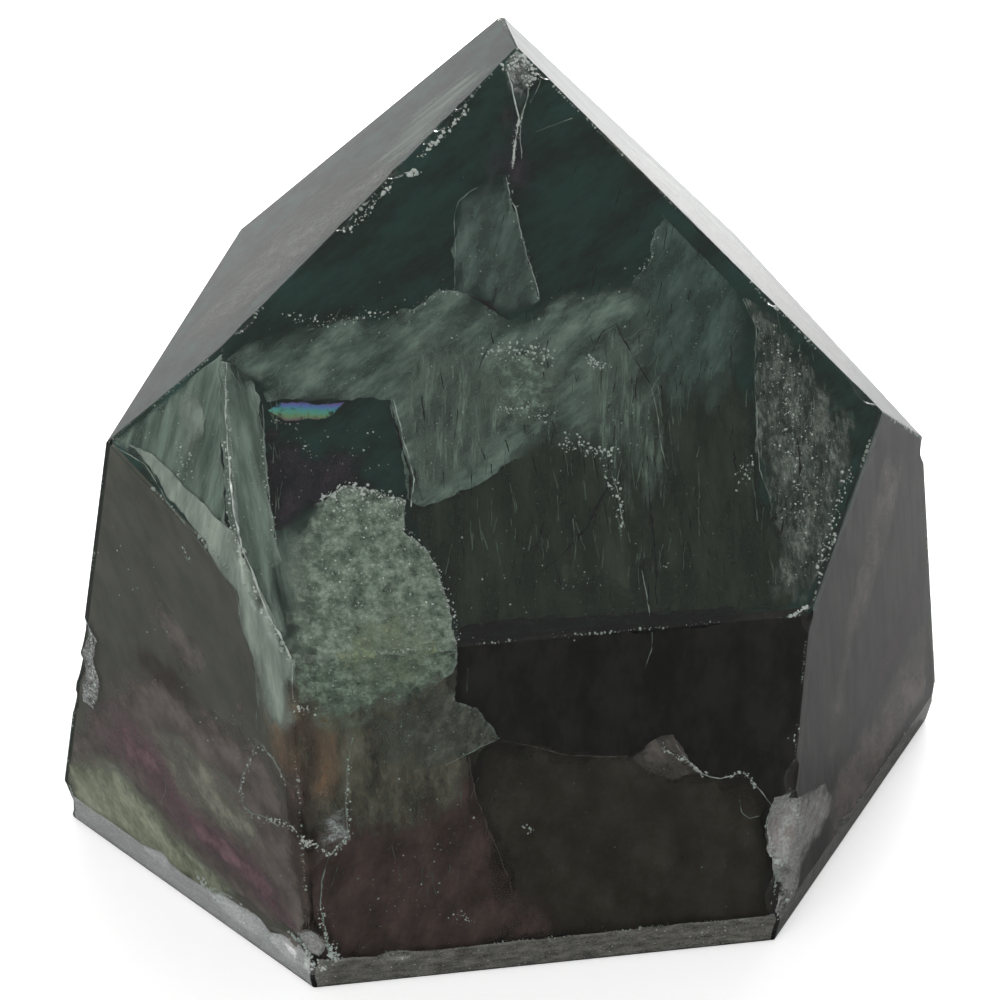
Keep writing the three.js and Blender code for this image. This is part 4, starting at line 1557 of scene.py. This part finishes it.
# %% Hairlines
HAIR_LENGTHS = (0.4, 2.2)
HAIR_DEPTHS = (0.2, 0.7)
HAIR_WIDTHS = (0.6, 1.3)
HAIR_SPREAD = 9
FIRST_HAIR_SEED = 400
HAIRLINES = [
    ("tip_front", "hair", 130, 0.9, 4, (415, 330), (700, 600)),
    ("tip_front", "hair", 60, 0.8, 50, (250, 320), (680, 420)),
    ("tip_front", "hair", 60, 0.9, 8, (745, 330), (840, 590)),
    ("tip_front", "dark", 90, 1.2, 2, (420, 350), (760, 600)),
    ("tip_front", "dark", 50, 1.0, 20, (455, 180), (740, 400)),
    ("tip_front", "hair", 40, 0.8, -6, (235, 380), (280, 560)),
    ("front", "hair", 40, 0.8, 0, (300, 680), (480, 900)),
    ("left", "hair", 30, 0.8, -35, (110, 520), (250, 840)),
]  # face, finish, how many, width, lean in degrees, and two corners of the stretch in the picture


def hairlines(name, face, finish, count, width, lean, low, high, seed):
    """Short threads at random places of a stretch, all leaning one way."""
    dice = Random(seed)
    places = []
    widths = []
    for _ in range(count):
        depth = dice.uniform(*HAIR_DEPTHS)
        start = seen_at(face, dice.uniform(low[0], high[0]), dice.uniform(low[1], high[1]), depth)
        turn = math.radians(dice.gauss(lean, HAIR_SPREAD))
        run = Vector((math.sin(turn), math.cos(turn))) * dice.uniform(*HAIR_LENGTHS)
        for spot in (start, start + run):
            places.append(kept_inside(under(face, *spot, depth), THREAD_CLEARANCE))
            widths.append(width * dice.uniform(*HAIR_WIDTHS) * PICTURE_MM * MM)
    mesh = bpy.data.meshes.new(name)
    mesh.from_pydata(places, [(2 * i, 2 * i + 1) for i in range(count)], [])
    mesh.attributes.new("width", "FLOAT", "POINT").data.foreach_set("value", widths)
    return thread_piece(name, mesh, finish, seed)


for number, (face, finish, *rest) in enumerate(HAIRLINES):
    name = f"{face}_{finish}_lines_{number + 1}"
    piece = hairlines(name, face, finish, *rest, FIRST_HAIR_SEED + number)
    print(f"{piece.name}: {len(piece.data.polygons)} faces")

# %% [markdown]
# ## Grains
# Tiny fresh breaks glint as white grains. They crowd along cracks and worn edges. A second recipe
# scatters small faceted grains along a line, each with its own size, turn and stray.

# %% The recipe for grains
BIG_GRAINS = 2.5  # the higher, the fewer big grains
GRAIN_SHARES = (1.5, 0.5)
SQUASHED = (0.4, 0.4, 0.4)
ROUND = (1.0, 1.0, 1.0)
FULL_TURN = (math.tau, math.tau, math.tau)
scatter, given, made = new_recipe("grains_along_a_line", [
    ("Count", WHOLE), ("Stray", FLOAT), ("Size", FLOAT), ("Across", ARROW), ("Up", ARROW),
    ("Seed", WHOLE), ("Finish", PAINT),
])


def dice_node(tree, kind, low, high, salt):
    """Random values from the recipe's seed; the salt keeps several of them apart."""
    node = tree.nodes.new("FunctionNodeRandomValue")
    node.data_type = kind
    ends = [s for s in node.inputs if s.enabled and s.name in ("Min", "Max")]
    ends[0].default_value = low
    ends[1].default_value = high
    put(tree, node.inputs["Seed"], maths(tree, "ADD", given.outputs["Seed"], salt))
    return next(s for s in node.outputs if s.enabled)


route = step(scatter, "GeometryNodeMeshToCurve", Mesh=given.outputs["Geometry"])
points = scatter.nodes.new("GeometryNodeCurveToPoints")
points.mode = "COUNT"
put(scatter, points.inputs["Curve"], route.outputs[0])
put(scatter, points.inputs["Count"], given.outputs["Count"])
shifts = []
for salt, direction in ((1, "Across"), (2, "Up")):
    throw = dice_node(scatter, "FLOAT", -1.0, 1.0, salt)
    near = maths(scatter, "MULTIPLY", throw, maths(scatter, "ABSOLUTE", throw))
    distance = maths(scatter, "MULTIPLY", near, given.outputs["Stray"])
    shifts.append(arrow_maths(scatter, "SCALE", given.outputs[direction], distance))
strewn = step(
    scatter, "GeometryNodeSetPosition", Geometry=points.outputs["Points"],
    Offset=arrow_maths(scatter, "ADD", *shifts),
)
share = dice_node(scatter, "FLOAT", 0.0, 1.0, 3)
small = maths(scatter, "MULTIPLY_ADD", maths(scatter, "POWER", share, BIG_GRAINS), *GRAIN_SHARES)
stretch = dice_node(scatter, "FLOAT_VECTOR", SQUASHED, ROUND, 4)
own_size = maths(scatter, "MULTIPLY", small, given.outputs["Size"])
grain_size = arrow_maths(scatter, "SCALE", stretch, own_size)
any_turn = dice_node(scatter, "FLOAT_VECTOR", (0, 0, 0), FULL_TURN, 5)
turn = step(scatter, "FunctionNodeEulerToRotation", Euler=any_turn)
grain = step(scatter, "GeometryNodeMeshIcoSphere", Radius=0.5, Subdivisions=1)
crowd = step(
    scatter, "GeometryNodeInstanceOnPoints", Points=strewn.outputs[0],
    Instance=grain.outputs["Mesh"], Rotation=turn.outputs[0], Scale=grain_size,
)
real = step(scatter, "GeometryNodeRealizeInstances", Geometry=crowd.outputs[0])
painted = step(
    scatter, "GeometryNodeSetMaterial", Geometry=real.outputs[0], Material=given.outputs["Finish"]
)
put(scatter, made.inputs[0], painted.outputs[0])
print("the grain recipe has", len(scatter.nodes), "nodes")

# %% Scattering grains under a face
GRAIN_CORNERS = 12
GRAIN_CLEARANCE = 0.02
LARGEST_GRAIN = 1.5


def settle(mesh, size):
    """Moves each whole grain inwards until it lies below the skin."""
    for first in range(0, len(mesh.vertices), GRAIN_CORNERS):
        corners = mesh.vertices[first : first + GRAIN_CORNERS]
        centre = sum((corner.co for corner in corners), Vector()) / GRAIN_CORNERS
        move = kept_inside(centre, size / 2 + GRAIN_CLEARANCE) - centre
        for corner in corners:
            corner.co += move


def grains(face, places, count, size, stray, seed, finish="white"):
    """Grains along a line of places that lies under a face; sizes in millimetres."""
    across, up, _, _ = face_axes(face)
    line = route_mesh("line", places)
    values = {
        "Count": count, "Stray": stray * MM, "Size": size * MM, "Across": across, "Up": up,
        "Seed": seed, "Finish": FINISHES[finish],
    }
    made_mesh = followed(scatter, "grains", line, values)
    bpy.data.meshes.remove(line)
    settle(made_mesh, size * LARGEST_GRAIN)
    return made_mesh


def joined_piece(name, meshes, finish="white"):
    """One piece from many meshes, which are used up."""
    bm = bmesh.new()
    for mesh in meshes:
        bm.from_mesh(mesh)
        bpy.data.meshes.remove(mesh)
    return finish_piece(object_from(bm, name), finish)


# %% The grains
# Face, count, grain size, stray and depth in millimetres, then the line in the picture.
GRAINS = [
    ("tip_front", 90, 0.16, 0.35, 0.15, [
        (224, 440), (228, 509), (240, 549), (258, 598), (274, 629), (289, 660),
    ]),
    ("tip_front", 80, 0.14, 0.45, 0.25, [(285, 318), (320, 322), (350, 320), (392, 312)]),
    ("tip_front", 30, 0.12, 0.3, 0.2, [(506, 177), (520, 228), (538, 298)]),
    ("tip_front", 60, 0.2, 0.25, 0.1, [(468, 109), (450, 128), (436, 142), (421, 156)]),
    ("tip_front", 26, 0.28, 0.22, 0.12, [(407, 173), (419, 172)]),
    ("tip_front", 55, 0.18, 0.3, 0.1, [(392, 182), (372, 205), (348, 231)]),
    ("tip_front", 110, 0.2, 0.45, 0.15, [(506, 70), (520, 56), (534, 68), (528, 86)]),
    ("tip_front", 40, 0.16, 0.2, 0.12, [(520, 118), (515, 140), (513, 168)]),
    ("tip_front", 120, 0.16, 0.7, 0.25, [(488, 352), (515, 350), (552, 356)]),
    ("tip_front", 70, 0.13, 0.5, 0.3, [(498, 410), (525, 408), (552, 418)]),
    ("tip_front", 60, 0.16, 0.5, 0.25, [(586, 360), (606, 366)]),
    ("tip_front", 90, 0.15, 0.6, 0.3, [(564, 440), (590, 448), (614, 454)]),
    ("tip_front", 50, 0.15, 0.35, 0.3, [(606, 468), (620, 500), (622, 524)]),
    ("tip_front", 40, 0.13, 0.5, 0.3, [(742, 480), (750, 462), (738, 484)]),
    ("tip_front", 40, 0.12, 0.3, 0.2, [(412, 311), (438, 292), (458, 292)]),
    ("tip_front", 30, 0.12, 0.3, 0.2, [(656, 230), (650, 258), (636, 278)]),
    ("tip_front", 26, 0.14, 0.4, 0.25, [(272, 420), (296, 424), (312, 460)]),
    ("tip_front", 40, 0.14, 0.3, 0.2, [(262, 440), (264, 475), (276, 540)]),
    ("tip_front", 200, 0.13, 1.6, 0.3, [(775, 330), (790, 400), (795, 460), (800, 520)]),
    ("tip_front", 90, 0.2, 0.5, 0.15, [(850, 470), (838, 505), (828, 545), (818, 578)]),
    ("tip_front", 36, 0.24, 0.25, 0.12, [(790, 618), (808, 606)]),
    ("tip_front", 130, 0.17, 0.4, 0.2, [(320, 498), (348, 486), (374, 492), (404, 502)]),
    ("tip_front", 80, 0.14, 1.2, 0.25, [(330, 512), (360, 505), (398, 520)]),
    ("tip_front", 80, 0.13, 0.3, 0.25, [(406, 530), (424, 549), (440, 575), (452, 612), (458, 640)]),
    ("front", 26, 0.12, 0.6, 0.2, [(452, 915), (470, 921)]),
    ("front", 14, 0.12, 2.2, 0.2, [(377, 883), (406, 886), (428, 893), (392, 900)]),
    ("front", 16, 0.18, 0.25, 0.15, [(526, 826), (532, 832)]),
    ("front", 10, 0.14, 0.6, 0.15, [(793, 743), (797, 725)]),
    ("front", 60, 0.17, 0.3, 0.15, [(662, 746), (688, 762), (706, 776)]),
    ("front", 40, 0.15, 0.25, 0.15, [(728, 776), (746, 772), (756, 788)]),
    ("front", 60, 0.15, 0.3, 0.15, [(348, 838), (330, 856), (318, 846)]),
    ("front", 40, 0.14, 0.3, 0.15, [(320, 905), (326, 940)]),
    ("left", 70, 0.17, 0.35, 0.15, [(266, 818), (290, 826), (296, 832)]),
    ("left", 50, 0.18, 0.4, 0.15, [(300, 840), (312, 852)]),
    ("left", 40, 0.13, 0.4, 0.2, [(240, 790), (246, 812), (262, 818)]),
    ("left", 150, 0.22, 0.5, 0.12, [(290, 938), (298, 958), (312, 968)]),
    ("front", 120, 0.22, 0.5, 0.12, [(322, 972), (334, 966), (330, 945)]),
    ("left", 170, 0.26, 0.7, 0.12, [(200, 884), (222, 902), (240, 920)]),
    ("left", 50, 0.2, 0.4, 0.12, [(250, 922), (264, 936)]),
    ("left", 30, 0.12, 0.4, 0.2, [(182, 545), (190, 562), (184, 556)]),
    ("left", 34, 0.14, 0.3, 0.2, [(257, 743), (244, 775), (240, 792)]),
    ("left", 40, 0.14, 0.3, 0.2, [(262, 745), (273, 760), (288, 786)]),
    ("front", 50, 0.13, 0.3, 0.2, [(349, 760), (347, 800), (349, 836)]),
    ("front", 40, 0.11, 3.4, 0.3, [(400, 720), (430, 800), (420, 900)]),
    ("tip_front", 60, 0.1, 3.6, 0.4, [(460, 560), (560, 590), (700, 560)]),
    ("tip_front", 60, 0.1, 3.4, 0.4, [(300, 330), (420, 330), (560, 320), (680, 300)]),
    ("tip_front", 36, 0.1, 2.4, 0.4, [(300, 440), (350, 470), (380, 430)]),
    ("left", 40, 0.1, 3.0, 0.25, [(110, 520), (150, 620), (200, 740)]),
    ("shoulder", 40, 0.12, 0.6, 0.2, [(176, 448), (188, 460), (184, 480)]),
    ("left", 16, 0.12, 0.8, 0.2, [(216, 712), (244, 730)]),
    ("front", 22, 0.15, 0.5, 0.15, [(298, 706), (310, 710)]),
    ("front", 80, 0.2, 0.35, 0.12, [(777, 812), (776, 850), (784, 895), (780, 918)]),
    ("right", 90, 0.2, 0.5, 0.15, [(800, 800), (800, 840), (792, 890), (788, 912)]),
    ("left", 70, 0.2, 0.35, 0.12, [(89, 630), (92, 660), (94, 705)]),
]
by_face = {}
for seed, (face, count, size, stray, depth, line) in enumerate(GRAINS):
    places = [under(face, *seen_at(face, x, y, depth), depth) for x, y in line]
    by_face.setdefault(face, []).append(grains(face, places, count, size, stray, seed))
for face, meshes in by_face.items():
    piece = joined_piece(face + "_grains", meshes)
    print(f"{piece.name}: {len(piece.data.polygons)} faces")

# %% [markdown]
# ## Bruised edges
# Polished edges of a soft stone always carry rows of tiny bruises. They run along every edge,
# thick in one stretch and missing in the next.

# %% Bruises along the edges
BRUISE_REACH = 0.16
BRUISE_SPACING = 0.2
BRUISE_SHARE = 0.42
BRUISE_RUNS = (0.6, 3.0)
BRUISE_SIZES = (0.1, 0.22)
SHORTEST_EDGE = 2 * MM
CLEAN_END = 1
FIRST_BRUISE_SEED = 500
SHOULDER = 30 * MM  # the edge below the front slope lies lower than this, and is clean
bruises = []
done = set()
dice = Random(23)
for face in list(UPRIGHT) + list(SLOPING):
    ring = CORNERS[face]
    for start, end in zip(ring, ring[1:] + ring[:1]):
        key = tuple(sorted((tuple(round(v, 4) for v in start), tuple(round(v, 4) for v in end))))
        clean = face == "tip_front" and max(start.z, end.z) < SHOULDER
        if key in done or clean or (end - start).length < SHORTEST_EDGE:
            continue
        done.add(key)
        along = 0.0
        length = (end - start).length / MM
        while along < length - CLEAN_END:
            run = dice.uniform(*BRUISE_RUNS)
            if dice.random() < BRUISE_SHARE:
                stretch_ends = [along / length, min(1.0, (along + run) / length)]
                places = [start.lerp(end, share) for share in stretch_ends]
                count = max(2, round(run / BRUISE_SPACING))
                size = dice.uniform(*BRUISE_SIZES)
                seed = FIRST_BRUISE_SEED + len(bruises)
                bruises.append(grains(face, places, count, size, BRUISE_REACH, seed))
            along += run
edge_bruises = joined_piece("edge_bruises", bruises, "pale")
print(f"{len(done)} edges, {len(edge_bruises.data.polygons)} faces of bruises")

# %% [markdown]
# ## Floor, light and room
# A pale floor, an even room, two soft lamps behind the stone and one in front. The sloping sides
# of the tip mirror what lies behind, so what makes them bright is how that floor is lit. A
# polished face would mirror too much of so bright a floor, so the floor is paler to the camera
# than in the stone's mirror.

# %% The floor
FLOOR_REACH = 3.0
FLOOR_DROP = -0.0001
FLOOR_SEEN = 0.9
FLOOR_MIRRORED = 0.25
SEEN_LIFT = 0.35
floor_mesh = bpy.data.meshes.new("floor")
ring = [(-1, -1), (1, -1), (1, 1), (-1, 1)]
corners = [(x * FLOOR_REACH, y * FLOOR_REACH, FLOOR_DROP) for x, y in ring]
floor_mesh.from_pydata(corners, [], [(0, 1, 2, 3)])
floor = new_object("floor", floor_mesh)
floor_paint, tree, shader = principled("floor_paint")
seen = tree.nodes.new("ShaderNodeLightPath").outputs["Is Camera Ray"]
paint = mixed(tree, seen, (*[FLOOR_MIRRORED] * 3, 1), (*[FLOOR_SEEN] * 3, 1))
put(tree, shader.inputs["Base Color"], paint)
shader.inputs["Roughness"].default_value = 1
shader.inputs["Specular IOR Level"].default_value = 0
shader.inputs["Emission Color"].default_value = (1, 1, 1, 1)
put(tree, shader.inputs["Emission Strength"], maths(tree, "MULTIPLY", seen, SEEN_LIFT))
floor_mesh.materials.append(floor_paint)
print("the floor reaches", FLOOR_REACH, "m each way")

# %% The room and the lamps
ROOM_LIGHT = 0.55
BACKDROP = 0.97
world = bpy.data.worlds.new("studio")
bpy.context.scene.world = world
world.use_nodes = True
studio = world.node_tree
seen = studio.nodes.new("ShaderNodeLightPath").outputs["Is Camera Ray"]
room = maths(studio, "MULTIPLY_ADD", seen, BACKDROP - ROOM_LIGHT, ROOM_LIGHT)
put(studio, studio.nodes["Background"].inputs["Strength"], room)
studio.nodes["Background"].inputs["Color"].default_value = (1, 1, 1, 1)

LAMPS = {
    "overhead_softbox": ((-60, 300, 200), 220, 0.62),
    "back_softbox": ((45, 130, 90), 100, 0.37),
    "front_softbox": ((-100, -340, 200), 350, 1.0),
}  # place and size in millimetres, power in watts
LAMP_AIMS = {"front_softbox": Vector((0, 0, 24)) * MM}  # the others point straight down
for name, (place, size, power) in LAMPS.items():
    light = bpy.data.lights.new(name, "AREA")
    light.size = size * MM
    light.energy = power
    lamp = new_object(name, light)
    lamp.location = Vector(place) * MM
    if name in LAMP_AIMS:
        lamp.rotation_euler = (LAMP_AIMS[name] - lamp.location).to_track_quat("-Z", "Y").to_euler()
    lamp.visible_camera = False
print("lamps:", ", ".join(LAMPS))

# %% [markdown]
# ## How it is looked at
# Plain colours suit a studio picture, so the view transform is the standard one. Many thin
# sheets lie behind each other, so a line of sight needs leave to pass through plenty of them.

# %% Picture settings
SHEETS_PASSED = 24
BOUNCES = 7
SOFT_BOUNCES = 2
bpy.context.scene.view_settings.view_transform = "Standard"
cycles = bpy.context.scene.cycles
cycles.transparent_max_bounces = SHEETS_PASSED
cycles.max_bounces = BOUNCES
cycles.diffuse_bounces = SOFT_BOUNCES
cycles.use_light_tree = False
print("a line of sight may pass through", SHEETS_PASSED, "surfaces")
